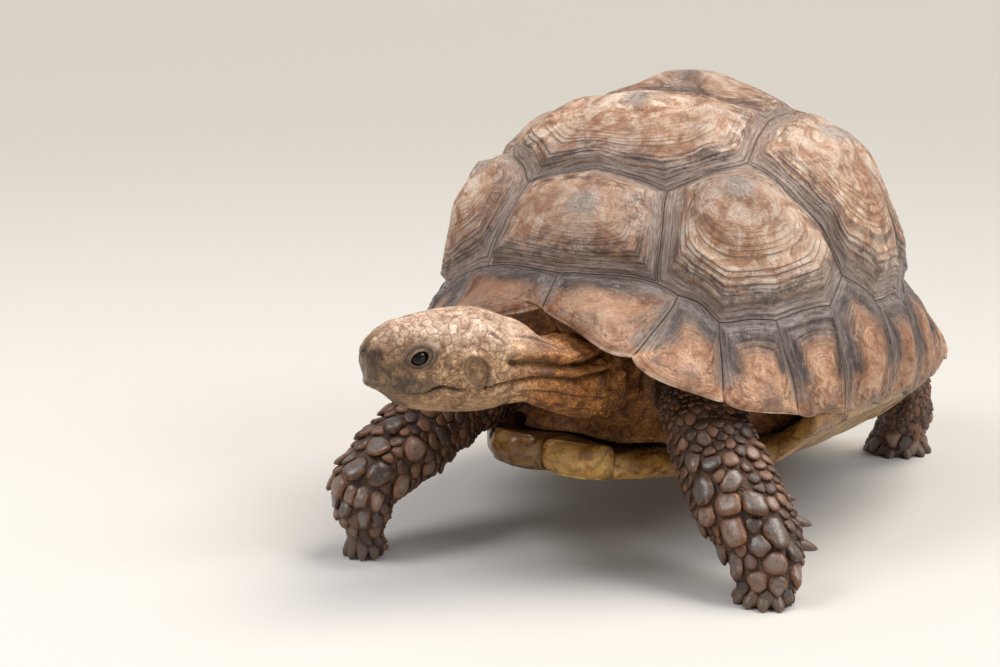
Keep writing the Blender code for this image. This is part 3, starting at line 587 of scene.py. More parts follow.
def grow_plastron(settings, finish):
    """Six pairs of flat plates, thick and rolled round where their edge is open."""
    look = look_of(settings, finish, rings=settings.belly_rings, step=0, ridge=settings.ridge * 0.35,
                   band=0.004, dome=1, heart_rise=0, unevenness=0.0004, shoulder=0.0008, inner_rings=0.2,
                   knob=0)
    grown = []
    for side in SIDES:
        previous = None
        for number, (name, (front, back), border) in enumerate(PLASTRON):
            outer = [np.array(p) for p in border]
            outer = outer if previous is None else [previous] + outer
            corners = [np.array([0.0, front])] + outer + [np.array([0.0, back])]
            last, previous = len(outer), outer[-1]
            open_edges = set(range(1 - (number == 0), last + (name == "anal")))
            thick = (LIP_THICK if name == "gular" else PLASTRON_THICK) * SHELL
            heart = np.mean(corners, axis=0)
            outline, edges = fine_outline(corners, settings.belly_detail)
            free = np.array([edge in open_edges for edge in edges], float) * settings.lip_round
            if side == "right":
                outline, free, heart = outline[::-1] * (-1, 1), free[::-1], heart * (-1, 1)
            for _ in range(3):
                free = (np.roll(free, 1) + free * 2 + np.roll(free, -1)) / 4
            node, seed = f"{name}_{side}", number + BELLY_SEEDS[side]
            made = shell_plate(f"{node}_plate", outline, heart, on_plastron, BELLY_HUMP, thick, look, seed,
                               free, tone=FRONT_SHADE_AND_LIGHT.get(node, OTHER_TONE))
            grown.append(("plastron_plate", made, node))
    return grown


# ---- flesh: the tables, in thousandths of the shell's length ----

HEAD_ROWS = np.array((  # back from the snout, half width, top, bottom
    (0, 14, 16, -18), (6, 29, 27, -37), (20, 41, 40, -53),
    (45, 50, 54, -69), (80, 59, 61, -78), (115, 67, 67, -82),
    (160, 73, 68, -83), (190, 70, 61, -79), (208, 64, 54, -74),
)) / 1000
NECK = np.array((
    (30, -270, 275, 70, 60), (40, -395, 285, 68, 60),
    (39, -462, 304, 64, 62),
)) / 1000
TAIL = np.array((
    (0, 300, 225, 50, 42), (0, 390, 200, 36, 30),
    (6, 440, 165, 20, 18), (12, 462, 125, 7, 7),
)) / 1000
BED = np.array((
    (0, -360), (100, -355), (165, -310), (215, -240), (275, -170), (303, -40),
    (303, 85), (275, 175), (205, 245), (150, 310), (105, 345), (45, 350),
    (0, 350),
)) / 1000
# A foot: its middle, where it faces and how far apart its claws point in degrees, how many they are,
# then how far out they start, how high, how long they are, how high their tips end and how thick they are.
LEGS = {
    "foreleg_left": {
        "across": (0.83, 0.56, 0.0),
        "path": (
            (155, -260, 270, 60, 55), (222, -340, 238, 62, 54),
            (270, -372, 170, 70, 56), (328, -396, 105, 70, 52),
            (364, -413, 52, 53, 46), (371, -420, 18, 42, 42),
            (372, -420, 0, 38, 38),
        ),
        "spurs": (
            ((362, -372, 112), (414, -342, 100), 12),
            ((388, -382, 82), (428, -356, 70), 11),
            ((345, -365, 142), (386, -340, 134), 10),
        ),
        "foot": ((371, -420, 0), -12, 30, 5, 34, 22, 18, 4.5, 11.5),
    },
    "foreleg_right": {
        "across": (0.95, -0.3, 0.0),
        "path": (
            (-125, -260, 260, 60, 55), (-190, -395, 208, 62, 60),
            (-218, -500, 158, 67, 62), (-238, -578, 105, 60, 50),
            (-240, -592, 62, 52, 38), (-230, -582, 25, 36, 25),
            (-225, -575, 0, 18, 14),
        ),
        "foot": ((-233, -582, 0), -8, 34, 5, 22, 44, 16, 4, 11.5),
    },
    "hindleg_left": {
        "across": (0.95, -0.3, 0.0),
        "path": (
            (150, 290, 265, 66, 60), (228, 365, 205, 56, 52),
            (250, 412, 125, 56, 54), (224, 455, 50, 60, 56),
            (212, 466, 15, 56, 53), (211, 467, 0, 51, 48),
        ),
        "foot": ((211, 467, 0), 60, 30, 4, 50, 24, 20, 5, 12.5),
    },
    "hindleg_right": {
        "across": (0.95, 0.3, 0.0),
        "path": (
            (-160, 290, 270, 66, 60), (-255, 325, 205, 58, 54),
            (-292, 318, 130, 58, 56), (-293, 295, 50, 60, 58),
            (-290, 288, 15, 56, 55), (-290, 287, 0, 51, 50),
        ),
        "foot": ((-290, 287, 0), -25, 30, 4, 50, 24, 20, 5, 12.5),
    },
}


# ---- flesh: lofts ----


def curve(values, places):
    """A smooth curve through the rows of values, read at places from 0 to the last row."""
    rows = np.array(values, float)
    held = np.concatenate([[2 * rows[0] - rows[1]], rows, [2 * rows[-1] - rows[-2]]])
    k = np.minimum(np.asarray(places).astype(int), len(rows) - 2)
    u = (places - k)[:, None]
    a, b, c, d = held[k], held[k + 1], held[k + 2], held[k + 3]
    return 0.5 * (2 * b + (c - a) * u + (2 * a - 5 * b + 4 * c - d) * u**2 + (3 * b - a - 3 * c + d) * u**3)


def spaced(count, density, start=0.0, end=1.0, closed=False):
    """Places from start to end, closer together where density is high."""
    fine = np.linspace(start, end, 2000)
    total = np.concatenate([[0], np.cumsum(density((fine[1:] + fine[:-1]) / 2))])
    return np.interp(np.linspace(0, total[-1], count + closed)[:count], total, fine)


def rounded(turn, power):
    """The cosine and sine of a section that is squarer than an ellipse above power 2."""
    return [np.sign(v) * np.abs(v) ** (2 / power) for v in (np.cos(turn), np.sin(turn))]


def tube(stations, across, steps, turn, power, inset=0.0, ends=None):
    """Rows of points along stations of x, y, z, half width, half depth, in shell fractions."""
    rows = curve(stations, np.linspace(0, len(stations) - 1, steps))
    way = np.gradient(rows[:, :3], axis=0)
    if ends is not None:
        share = np.linspace(0, 1, steps)[:, None] ** 1.2
        way = np.array(ends[0]) * (1 - share) + np.array(ends[1]) * share
    way = unit(way)
    width = unit(np.array(across) - way * (way @ np.array(across))[:, None])
    depth = np.cross(way, width)
    cos, sin = rounded(turn, power)
    inset = inset / SHELL
    return (
        rows[:, None, :3] + width[:, None] * ((rows[:, 3:4] - inset) * cos)[..., None]
        + depth[:, None] * ((rows[:, 4:5] - inset) * sin)[..., None]
    )


def normals_of(points):
    """Outward directions of a closed loft's points."""
    around = np.roll(points, -1, axis=1) - np.roll(points, 1, axis=1)
    along = np.gradient(points, axis=0)
    normal = unit(np.cross(around, along))
    middle = points.mean(axis=1, keepdims=True)
    if ((points - middle) * normal).sum() < 0:
        normal = -normal
    return normal


def flank(turn):
    """How high round the side each point lies, the same on both sides: -90 below, 0 level, 90 above."""
    wrapped = np.mod(turn + math.pi, 2 * math.pi) - math.pi
    over = np.sign(wrapped) * (math.pi - np.abs(wrapped))
    return np.degrees(np.where(np.abs(wrapped) > math.pi / 2, over, wrapped))


def crease(along, across, path, width, depth, lip, fade=0.012):
    """A fold along path, pairs of along and across: a groove with a soft lip above it."""
    places, heights = np.array(path).T
    middle = np.interp(along, places, heights)
    here = ease(along, places[0], places[0] + fade) * ease(along, places[-1], places[-1] - fade)
    gap = across - middle
    return here * (lip * bump(gap, 2.4 * width, 1.9 * width) - depth * bump(gap, 0, width))


# ---- flesh: the head and neck ----

EAR = (0.156, -0.011)  # back from the snout, up
NOSTRIL = (0.0125, 0.011)  # out from the middle, up
RELAXED = 24  # how many times a limb's root is drawn towards its neighbours
MOUTH = np.array((
    (-4, -37), (12, -41.5), (25, -45), (60, -47), (86, -42), (98, -34),
    (108, -32), (137, -38), (150, -36),
)) / 1000
JAW_FOLD = ((0.118, -0.07), (0.14, -0.058), (0.165, -0.038), (0.185, -0.018), (0.2, -0.002))
NECK_FOLDS = (  # run from the snout and degrees above level, then width, depth and lip in metres
    (((0.195, 6), (0.235, 4), (0.275, 8), (0.315, 22), (0.35, 44), (0.375, 60)), 0.0022, 0.0052, 0.004),
    (((0.15, -24), (0.2, -18), (0.25, -9), (0.3, -2), (0.345, 14), (0.38, 30)), 0.0017, 0.0036, 0.0022),
    (((0.215, -34), (0.26, -30), (0.32, -22), (0.38, -12)), 0.0012, 0.0014, 0.001),
    (((0.225, -56), (0.29, -50), (0.4, -40)), 0.0014, 0.0014, 0.0012),
    (((0.205, 46), (0.24, 38), (0.275, 36), (0.3, 44)), 0.001, 0.0009, 0.0007),
    (((0.165, 62), (0.19, 40), (0.205, 24)), 0.0007, 0.0016, 0.001),
)


def head_grid(settings, turn):
    """The head's rows in its own frame (left, back from the snout, up), shell fractions."""
    def density(y):
        return 1 + 2.4 * bump(y, 0.079, 0.018) + 1.6 * bump(y, -0.002, 0.01)

    places = spaced(settings.head_rows, density, -0.003, HEAD_LONG)
    table = np.array(((-0.0032, 0.002, 0.002, -0.006), *HEAD_ROWS))
    station = np.interp(places, table[:, 0], np.arange(len(table)))
    _, half, top, low = curve(table, station).T
    cos, sin = rounded(turn, 2.35)
    # The jaw is narrower than the temples, and the beak narrows to a keel below.
    under = np.clip(-sin, 0, 1)[None]
    front = ease(places, 0.075, 0.0)[:, None]
    half = half[:, None] * (1 - (0.13 + 0.16 * front) * under**1.4)
    half = half * (1 - 0.1 * front * np.clip(sin, 0, 1)[None] ** 2)
    middle, rise = (top + low)[:, None] / 2, (top - low)[:, None] / 2
    z = middle + rise * sin[None]
    # Each point keeps its row's place back from the snout.
    back = places[:, None] + 0 * z
    return np.stack([half * cos[None], back, z], axis=-1)


def eye_frame(points):
    """Each head point's place about the eye on its own side: along and across the opening, metres."""
    back, up = (points[..., 1] - EYE[1]) * SHELL, (points[..., 2] - EYE[2]) * SHELL
    tilt = math.radians(24)
    return back * math.cos(tilt) + up * math.sin(tilt), up * math.cos(tilt) - back * math.sin(tilt)


def shape_head(points, settings):
    """Head points and masks: cheeks, brow, lids, nostrils, mouth, beak, ear and the scales of the crown."""
    normal = normals_of(points)
    x, y, z = points[..., 0], points[..., 1], points[..., 2]
    side = ease(np.abs(normal[..., 0]), 0.25, 0.75)
    out = 0.003 * side * bump(y, 0.128, 0.034) * bump(z, 0.01, 0.03)  # jaw muscle
    out += 0.0022 * bump(y, 0.082, 0.03) * bump(z, 0.036, 0.013) * side  # brow
    out += 0.0012 * side * bump(y, 0.062, 0.04) * bump(z, -0.016, 0.01)  # cheek bone
    out -= 0.0016 * side * bump(y, 0.108, 0.014) * bump(z, 0.005, 0.02)  # behind the orbit
    out -= 0.0016 * side * bump(y, 0.045, 0.012) * bump(z, 0.01, 0.018)  # before the orbit
    out -= 0.001 * bump(y, 0.052, 0.016) * bump(z, 0.062, 0.012) * (1 - side)  # dip of the nose
    # Mouth: the horny upper jaw overhangs the lower.
    mouth = np.interp(y, *MOUTH.T)
    gap = (z - mouth) * SHELL
    jaws = ease(y, 0.152, 0.13)
    out += jaws * (0.0014 * bump(gap, 0.0022, 0.0022) - 0.003 * bump(gap, -0.0003, 0.0008))
    out -= ease(y, 0.11, 0.05) * 0.0022 * ease(gap, 0.0, -0.0008) * ease(gap, -0.014, -0.005)
    out += 0.0016 * side * bump(y, 0.09, 0.012) * bump(gap, 0.0035, 0.0035)  # lobe over the corner
    out += crease(y, z * SHELL, [(a, b * SHELL) for a, b in JAW_FOLD], 0.0011, 0.0012, 0.0016) * side
    # Ear: a shallow drum in a soft ring.
    high = z - EAR[1]
    ear = np.hypot((y - EAR[0] + 0.25 * high) / 0.0165, high / 0.0215)
    drum = 0.0017 * bump(ear, 1.18, 0.24) - 0.0026 * ease(ear, 1.04, 0.78)
    out += side * (drum + 0.0011 * bump(ear, 0.0, 0.42))
    # Orbit: a soft hollow, then lids that hug the eyeball round a slanted opening.
    along, across = eye_frame(points)
    ring = np.hypot(along / settings.lid_long, across / settings.lid_high)
    near = ease(ring, 3.4, 1.6) * side
    out -= near * 0.0012 * bump(ring, 2.55, 0.45)
    creased, under, rear = 0 * y, ease(across, 0.001, -0.0016), ease(along, -0.006, 0.004)
    for place, deep, where in (
        (1.42, 0.0006, under), (1.55, 0.0005, 1 - under), (1.95, 0.00045, under * rear),
        (2.35, 0.0003, (1 - under) * (1 - rear)),
    ):
        out -= near * deep * bump(ring, place, 0.07) * where
        # The creases are also painted dark, as shade, through the hollow mark.
        creased = np.maximum(creased, 0.7 * near * bump(ring, place, 0.1) * where)
    shaped = points + normal * (out / SHELL)[..., None]
    ball = frame_eye_radius() / SHELL
    flat = np.minimum(np.hypot(y - EYE[1], z - EYE[2]), ball * 1.25)
    thick = 1 + 0.5 * bump(ring, 1.12, 0.16) + 0.9 * (1 - under) * bump(ring, 1.15, 0.3)
    lid = ball + settings.lid_thick / SHELL * thick
    bulge = EYE[0] + np.sqrt(np.maximum(lid**2 - np.minimum(flat, lid * 0.94) ** 2, 0))
    outward = np.sign(x)
    depth = np.abs(shaped[..., 0])
    lidded = np.where(flat < lid * 0.94, np.maximum(depth, bulge), depth)
    lidded = depth + (lidded - depth) * ease(flat, ball * 1.25, ball * 0.9) * side
    opened = ease(ring, 1.05, 0.93) * side
    lidded = lidded * (1 - opened) + (EYE[0] + ball * 0.15) * opened
    shaped[..., 0] = lidded * outward
    # Nostrils, each side of the middle of the face.
    nostril = np.sqrt(((np.abs(x) - NOSTRIL[0]) / 0.0042) ** 2 + ((z - NOSTRIL[1]) / 0.0034) ** 2)
    nostril = nostril + 40 * np.clip(y - 0.01, 0, 1)
    pit = ease(nostril, 1.15, 0.55)
    shaped -= normal * (pit * 0.0024 - 0.0004 * bump(nostril, 1.5, 0.4))[..., None] / SHELL

    # The horn's border runs from the nostril back under the eye to the mouth's corner.
    border = np.interp(y, (0.0, 0.02, 0.045, 0.056, 0.068, 0.095),
                       (0.025, 0.018, 0.006, -0.007, -0.019, -0.027))
    uneven = 0.007 * ripple(shaped, 0.016, 8)
    horn = ease(z - border + uneven, 0.007, -0.006) * ease(y + uneven, 0.108, 0.092) * ease(gap, -0.004, 0.0)
    chin = ease(gap, 0.0, -0.001) * ease(y + uneven, 0.085, 0.045) * ease(z, -0.078, -0.06)
    masks = {
        "horn": np.maximum(horn, 0.75 * chin),
        # Darker skin round the eye and the ear, and painted shade on the underside of the jaw.
        "dusk": np.maximum(np.maximum(near * ease(ring, 2.9, 1.9), 0.5 * side * ease(ear, 1.3, 0.95)),
                           0.55 * ease(z, -0.04, -0.072)),
        "pale": ease(z, -0.004, 0.05) * ease(y, 0.006, 0.03) * (1 - 0.8 * horn),
        "lid": near * bump(ring, 1.16, 0.13) * (0.25 + 0.75 * under),
        # hollow: near black painted shade in the nostril pits, the mouth's groove, the eye's opening, the lid
        # creases and the ring round the ear drum.
        "hollow": np.clip(pit + jaws * bump(gap, -0.0003, 0.0012) + opened + creased
                          + 0.5 * side * bump(ear, 1.0, 0.07), 0, 1),
        "scaly": (1 - horn) * (1 - ease(ring, 2.6, 2.2) * side) * ease(z, -0.066, -0.03) * (1 - pit)
        * (1 - 0.85 * side * ease(ear, 1.2, 0.9)),
    }
    return shaped, masks


def frame_eye_radius():
    low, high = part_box("eye_left")
    return (high[2] - low[2]) / 2


def scatter(points, sizes, seed):
    """Picks points in a random order so that no two are nearer than the mean of their sizes."""
    cells, picked, biggest = {}, [], float(sizes.max())

    def clear(k, other):
        reach, d = (sizes[k] + sizes[other]) / 2, points[k] - points[other]
        return d[0] * d[0] + d[1] * d[1] + d[2] * d[2] >= reach * reach

    for k in np.random.default_rng(seed).permutation(len(points)):
        x, y, z = (int(v // biggest) for v in points[k])
        near = (cells.get((x + a, y + b, z + c), ()) for a, b, c in product((-1, 0, 1), repeat=3))
        if all(clear(k, other) for cell in near for other in cell):
            cells.setdefault((x, y, z), []).append(k)
            picked.append(k)
    return picked


def crackle(points, share, size, seed):
    """Small flat scales as cells: how deep in a groove each point is, and its cell's own tone."""
    flat, wanted = points.reshape(-1, 3), share.ravel()
    there = np.flatnonzero(wanted > 0.05)
    groove, tone = np.zeros(len(flat)), np.zeros(len(flat))
    thin = there[::2]
    seeds = flat[thin][scatter(flat[thin], size.ravel()[thin], seed)]
    tree = near_points(seeds)
    tones = np.random.default_rng(seed + 1).random(len(seeds))
    for k in there:
        (_, first, near), (_, _, far) = tree.find_n(flat[k], 2)
        groove[k] = far - near
        tone[k] = tones[first]
    depth = ease(groove, 0.0011, 0.0001) * (wanted > 0.05) * wanted
    return depth.reshape(share.shape), tone.reshape(share.shape)


def neck_grid(turn, steps):
    """The neck's rows from behind the skull to inside the shell, and how far each is from the snout."""
    _, half, top, low = HEAD_ROWS[-1]
    middle = (top + low) / 2
    end, before = placed([(0, 0.002, middle), (0, 0.03, middle - 0.002)])
    stations = [*NECK, (*before, half * 0.97, (top - low) / 2 * 0.97), (*end, half, (top - low) / 2)]
    left = (math.cos(HEAD_TURN), -math.sin(HEAD_TURN), 0)
    ahead = (-math.sin(HEAD_TURN), -math.cos(HEAD_TURN), 0)
    points = tube(stations, left, steps, turn, 2.3, 0.0, ((0.06, -0.99, 0.12), ahead))[::-1]
    steps = np.linalg.norm(np.diff(points.mean(axis=1), axis=0), axis=1)
    run = np.concatenate([[0], np.cumsum(steps)]) + HEAD_LONG + 0.002
    return points, run


def head_and_neck(settings):
    """One loft from the snout to inside the shell, in metres in the frame, with its masks."""
    turn = spaced(settings.head_sides, lambda a: 1 + 1.5 * (np.abs(np.cos(a)) ** 12),
                  -math.pi / 2, 1.5 * math.pi, True)
    head, masks = shape_head(head_grid(settings, turn), settings)
    neck, run = neck_grid(turn, settings.neck_rows)
    level = flank(turn)
    run, level = run[:, None] + 0 * level, level + 0 * run[:, None]
    back = placed(head - (0, HEAD_LONG, 0))
    along = np.concatenate([head[..., 1], run])
    points = np.concatenate([back, neck])
    normal = np.concatenate([normals_of(back), normals_of(neck)])
    around = np.broadcast_to(level[:1], along.shape)
    spread = np.linalg.norm(points - points.mean(axis=1, keepdims=True), axis=-1) * SHELL
    out, creased = np.zeros(along.shape), np.zeros(along.shape)
    for path, width, depth, lip in NECK_FOLDS:
        metres = np.radians(around) * spread
        bent = [(a, math.radians(b) * 0.028) for a, b in path]
        out += crease(along, metres, bent, width, depth, lip, 0.02)
        creased = np.maximum(creased, crease(along, metres, bent, width * 0.8, -0.7, 0, 0.02))
    loose = ease(along, 0.2, 0.26)
    sway = np.stack([along * 6, around / 60, 0 * along], axis=-1)
    out += loose * 0.0011 * ripple(sway, 0.16, 21)
    out -= 0.0095 * bump(along, 0.275, 0.042) * ease(around, 25, 65)  # the nape dips behind the skull
    # The skin folds across the neck nearer the shell.
    out += ease(along, 0.3, 0.4) * 0.0022 * np.sin(along * 130 + np.radians(around) * 1.4) ** 3
    points = points * SHELL + OFFSET + normal * out[..., None]
    masks = {key: np.concatenate([value, np.zeros(run.shape)]) for key, value in masks.items()}
    masks["pale"][len(head):] = 0.75 * ease(around[len(head):], 5, 50) * ease(run, 0.33, 0.21)
    size = 0.003 + 0.0022 * masks["pale"] + 0.0008 * ripple(points, 0.02, 5)
    scaly = masks.pop("scaly") * ease(along, 0.222, 0.19)
    groove, tone = crackle(points, scaly, np.maximum(size, 0.0022), 3)
    points -= normal * (groove * settings.scale_groove)[..., None]
    masks["groove"], masks["tone"] = groove, tone
    # The grooves of the neck folds are painted dark as shade too.
    masks["hollow"] = np.maximum(masks["hollow"], creased)
    masks["neck"] = ease(along, 0.195, 0.25)
    masks["dark"] = 0.12 * ease(along, 0.32, 0.42)
    return points, masks


# ---- flesh: trunk, legs and tail, then all of it as one skin ----


def trunk_grid(settings, turn):
    """The body inside the shell: the dome's inside, a pocket round the limbs, the bed on the plastron."""
    angle = np.mod(turn, 2 * math.pi)
    around = np.abs(np.abs(angle - math.pi) - math.pi / 2)
    bridge = np.clip((0.78 - around) / 0.3, 0, 1)
    rows = []
    for part in np.concatenate([(0.03,), np.linspace(0.16, 1, 8)]):
        radial = part * (0.8 + 0.14 * bridge)
        base, normal = on_carapace(np.column_stack([np.sin(angle) * radial, -np.cos(angle) * radial]))
        rows.append(base - normal * ((settings.plate_gap + settings.trunk_inset) / SHELL))
    bed = smooth(angle, ring_of([(x, y, 0) for x, y in BED], True))
    bed[:, 2] = on_plastron(bed[:, :2])[0][:, 2] + PLASTRON_THICK + 0.014
    top, middle = rows[-1], rows[-1] * 0.4 + bed * 0.6
    hollow = 0.1 * (1 - bridge)[:, None]
    middle[:, :2] = middle[:, :2] * (1 - hollow) + np.array(CENTRE) * hollow
    for t in np.linspace(0, 1, 22)[1:]:
        rows.append((1 - t) ** 2 * top + 2 * t * (1 - t) * (2 * middle - (top + bed) / 2) + t * t * bed)
    low = np.array((0.0, CENTRE[1], bed[0, 2]))
    rows += [bed * (1 - t) + low * t for t in (0.35, 0.96)]
    points = np.array(rows)
    normal = normals_of(points)
    fold = ripple(points * (1, 1, 0.35), 0.055, 31)
    level = ease(np.arange(len(points)), 8, 12) * ease(np.arange(len(points)), 31, 28)
    points = at_size(points.reshape(-1, 3)).reshape(points.shape)
    return points + normal * (level[:, None] * 0.003 * fold)[..., None]


def leg_grid(plan, settings, steps, turn):
    """A leg's rows and its folds of loose skin, in metres in the frame."""
    path = np.array(plan["path"]) / 1000
    lean = path[1, :3] - path[0, :3]
    points = tube(path, plan["across"], steps, turn, 2.2, settings.leg_inset, (unit(lean), (0, 0, -1)))
    normal = normals_of(points)
    along = np.linspace(0, 1, steps)[:, None] + 0 * turn
    round_it = turn + 0 * along
    wave = np.stack([along * 2.2, np.cos(round_it) * 0.35, np.sin(round_it) * 0.35], axis=-1)
    out = 0.0016 * ripple(wave, 0.2, 41) * ease(along, 0.98, 0.75)
    out += 0.0012 * np.sin(along * 95 + np.cos(turn) * 2) * ease(along, 0.42, 0.25)
    return points * SHELL + OFFSET + normal * out[..., None]


def blank(grid, **values):
    """Masks for a loft that has none of its own."""
    keys = ("horn", "dusk", "pale", "lid", "hollow", "groove", "tone", "neck", "dark")
    return {key: np.full(grid.shape[:2], values.get(key, 0.0)) for key in keys}


def closed_loft(name, grid, finish):
    """A loft with a pole at each end, as a mesh object."""
    ends = [grid[0].mean(axis=0), grid[-1].mean(axis=0)]
    return piece(name, np.concatenate([grid.reshape(-1, 3), ends]), grid_faces(*grid.shape[:2]), finish)


def tree_of(mesh):
    return BVHTree.FromPolygons([v.co[:] for v in mesh.vertices], [p.vertices[:] for p in mesh.polygons])


def near_points(points):
    """A search tree over points, each known by its number."""
    tree = KDTree(len(points))
    for k, p in enumerate(points):
        tree.insert(p, k)
    tree.balance()
    return tree


def relax(points, edges, share, rounds):
    """Draws each point towards its neighbours' mean, by its share."""
    (first, second), many = edges.T, len(points)
    count = np.bincount(np.concatenate([first, second]), minlength=many)[:, None]
    for _ in range(rounds):
        total = np.column_stack([
            np.bincount(first, column[second], many) + np.bincount(second, column[first], many)
            for column in points.T
        ])
        points = points + (total / count - points) * share[:, None]
    return points


def grow_skin(settings, finish):
    """One closed skin for all the flesh, and the legs' own lofts for what sits on them."""
    ring = np.arange(settings.leg_sides) * 2 * math.pi / settings.leg_sides
    lofts = {"head": head_and_neck(settings)}
    for name, plan in LEGS.items():
        grid = leg_grid(plan, settings, settings.leg_rows, ring)
        lofts[name] = (grid, blank(grid, dark=1.0))
    tail = tube(TAIL, (1, 0, 0), 60, ring[::2], 2.0, settings.leg_inset * 0.7) * SHELL + OFFSET
    tail = tail + normals_of(tail) * (0.0007 * np.sin(np.arange(60) * 1.1) ** 2)[:, None, None]
    lofts["tail"] = (tail, blank(tail, dark=0.85))
    wide = np.arange(settings.trunk_sides) * 2 * math.pi / settings.trunk_sides
    trunk = trunk_grid(settings, wide)
    lofts["trunk"] = (trunk, blank(trunk, dark=0.12, neck=1.0))

    made = [closed_loft(f"{name}_loft", grid, finish) for name, (grid, _) in lofts.items()]
    body = made.pop()
    body.name = body.data.name = "hide"
    for other in made:
        join = body.modifiers.new("join", "BOOLEAN")
        join.operation, join.solver, join.object = "UNION", "MANIFOLD", other
    trunk_tree, mesh = tree_of(body.data), baked(body)
    for other in made:
        bpy.data.objects.remove(other)

    # Each point of the union takes its masks from the loft that it came from.
    points = np.empty(len(mesh.vertices) * 3)
    mesh.vertices.foreach_get("co", points)
    points = points.reshape(-1, 3)
    grids = [grid.reshape(-1, 3) for grid, _ in lofts.values()]
    masks = {key: np.concatenate([m[key].ravel() for _, m in lofts.values()]) for key in lofts["tail"][1]}
    owner = np.concatenate([np.full(len(g), k) for k, g in enumerate(grids)])
    every, limbs = np.concatenate(grids), len(grids) - 1
    tree, near_limb = near_points(every), near_points(every[owner != limbs])
    source = np.array([tree.find(p)[1] for p in points])
    marks = {key: values[source] for key, values in masks.items()}
    close = np.array([near_limb.find(p)[2] if owner[s] == limbs else trunk_tree.find_nearest(p)[3]
                      for p, s in zip(points, source)])
    edges = np.empty(len(mesh.edges) * 2, int)
    mesh.edges.foreach_get("vertices", edges)
    share = 0.5 * ease(close, settings.blend, settings.blend * 0.2)
    points = relax(points, edges.reshape(-1, 2), share, RELAXED)
    mesh.vertices.foreach_set("co", points.ravel())
    for key, values in marks.items():
        mesh.attributes.new(key, "FLOAT", "POINT").data.foreach_set("value", values.astype(np.float32))
    mesh.shade_smooth()
    mesh.materials.clear()
    mesh.materials.append(finish)
    return body, lofts


def grow_eye(side, finish):
    """An eyeball with a low clear bulge over the iris, its marks read from the middle of the gaze."""
    low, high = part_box(f"eye_{side}")
    centre, radius = np.array((low + high) / 2), frame_eye_radius()
    sign = 1 if side == "left" else -1
    gaze = unit(placed([(sign * 1.0, -0.22, 0.06)])[0] - HEAD_BACK)
    right = unit(np.cross(gaze, (0, 0, 1)))
    up = np.cross(right, gaze)
    tilt = np.radians(np.concatenate([np.linspace(1.5, 60, 36), np.linspace(66, 176, 16)]))
    turn = np.arange(48) * 2 * math.pi / 48
    bulge = radius * (1 + 0.045 * bump(tilt, 0, math.radians(34)))
    ring = np.cos(turn)[:, None] * right + np.sin(turn)[:, None] * up
    cos, sin = (wave(tilt)[:, None, None] for wave in (np.cos, np.sin))
    points = centre + bulge[:, None, None] * (cos * gaze + sin * ring)
    ends = [centre + gaze * bulge[0], centre - gaze * radius]
    off = np.concatenate([np.degrees(np.repeat(tilt, 48)), (0, 180)])
    return piece(f"eyeball_{side}", np.concatenate([points.reshape(-1, 3), ends]), grid_faces(52, 48), finish,
                 {"off_gaze": off})


# ---- leg scales, claws and spurs ----

# The largest scales: thousandths down the leg, degrees round it, half across and along in mm; some lean.
BIG_SCALES = {
    "foreleg_left": (
        (270, 110, 4.3, 4), (305, 112, 5, 5.2), (288, 128, 4, 5.5, 10), (330, 97, 4.2, 3.8),
        (372, 113, 6.6, 5.6, -10), (372, 92, 5, 4.6), (350, 138, 5.6, 9, 8), (392, 76, 4, 7.8, -48),
        (425, 99, 5.6, 10.8, -62), (428, 143, 8.2, 9.6, 10), (480, 117, 7.8, 9.6, 20), (487, 88, 7.2, 11.2),
        (487, 66, 4.2, 6.2, -10), (492, 157, 7.4, 8.2, 10), (560, 128, 9.8, 10.4, 10),
        (546, 97, 5.6, 4.6), (572, 73, 8.6, 11.6, -8), (612, 99, 8, 6.6, 25), (632, 46, 5.8, 10.2, -10),
        (668, 157, 6.6, 12.4, 6), (678, 84, 6.6, 10.2, 62), (725, 38, 6.6, 9.4), (600, 186, 6.2, 8.4),
        (500, 186, 5.4, 7.2), (760, 118, 6.4, 6.8), (790, 78, 6.6, 6.6), (800, 150, 5.6, 6.4),
        (860, 98, 5.4, 5.2), (850, 56, 5.2, 5.4), (865, 132, 5, 5),
    ),
    "foreleg_right": (
        (330, 74, 7.6, 10.4, 20), (378, 104, 6.4, 8.8, 10), (392, 68, 9.2, 9.2, 25), (470, 74, 8, 10.8, 10),
        (440, 36, 9.4, 8.6, 20), (338, 22, 8.6, 8.2), (262, 8, 7.2, 6.8), (250, 52, 7, 6.6),
        (430, -8, 6.6, 11.6), (340, -16, 6, 6.6), (300, -44, 6, 6.4), (545, 92, 7.4, 8.8),
        (545, 40, 5.6, 8.2), (560, 64, 5, 8.8), (450, 120, 7, 8.4), (540, 130, 6, 7.4),
        (300, 128, 6.2, 7), (220, 92, 6, 6.2), (620, 108, 5.6, 7.6), (630, 72, 5, 8.4),
        (520, 10, 5.6, 7), (640, 30, 4.8, 7.6), (610, 0, 4.4, 5.6),
    ),
    "hindleg_left": (
        (560, 70, 7, 7.6), (620, 105, 6.4, 7), (640, 38, 6.6, 7.2), (720, 80, 7.2, 7.2),
        (735, 12, 7, 8), (750, 125, 6.6, 6.8), (780, -30, 7.2, 8), (770, -72, 7, 7.6),
        (690, -50, 5.6, 6.4), (790, 172, 6.4, 6.6), (780, -120, 6.6, 7.2), (820, 46, 6.4, 6.2),
    ),
}
BIG_SCALES["hindleg_right"] = [(down, 180 - turn, *rest) for down, turn, *rest in BIG_SCALES["hindleg_left"]]
# Where the middling scales are: degrees round the leg, spread, places down it where they begin and end.
FRONTS = {
    "foreleg_left": (98, 62, 0.24, 0.95), "foreleg_right": (62, 75, 0.16, 0.9),
    "hindleg_left": (60, 105, 0.5, 0.95), "hindleg_right": (120, 105, 0.5, 0.95),
}
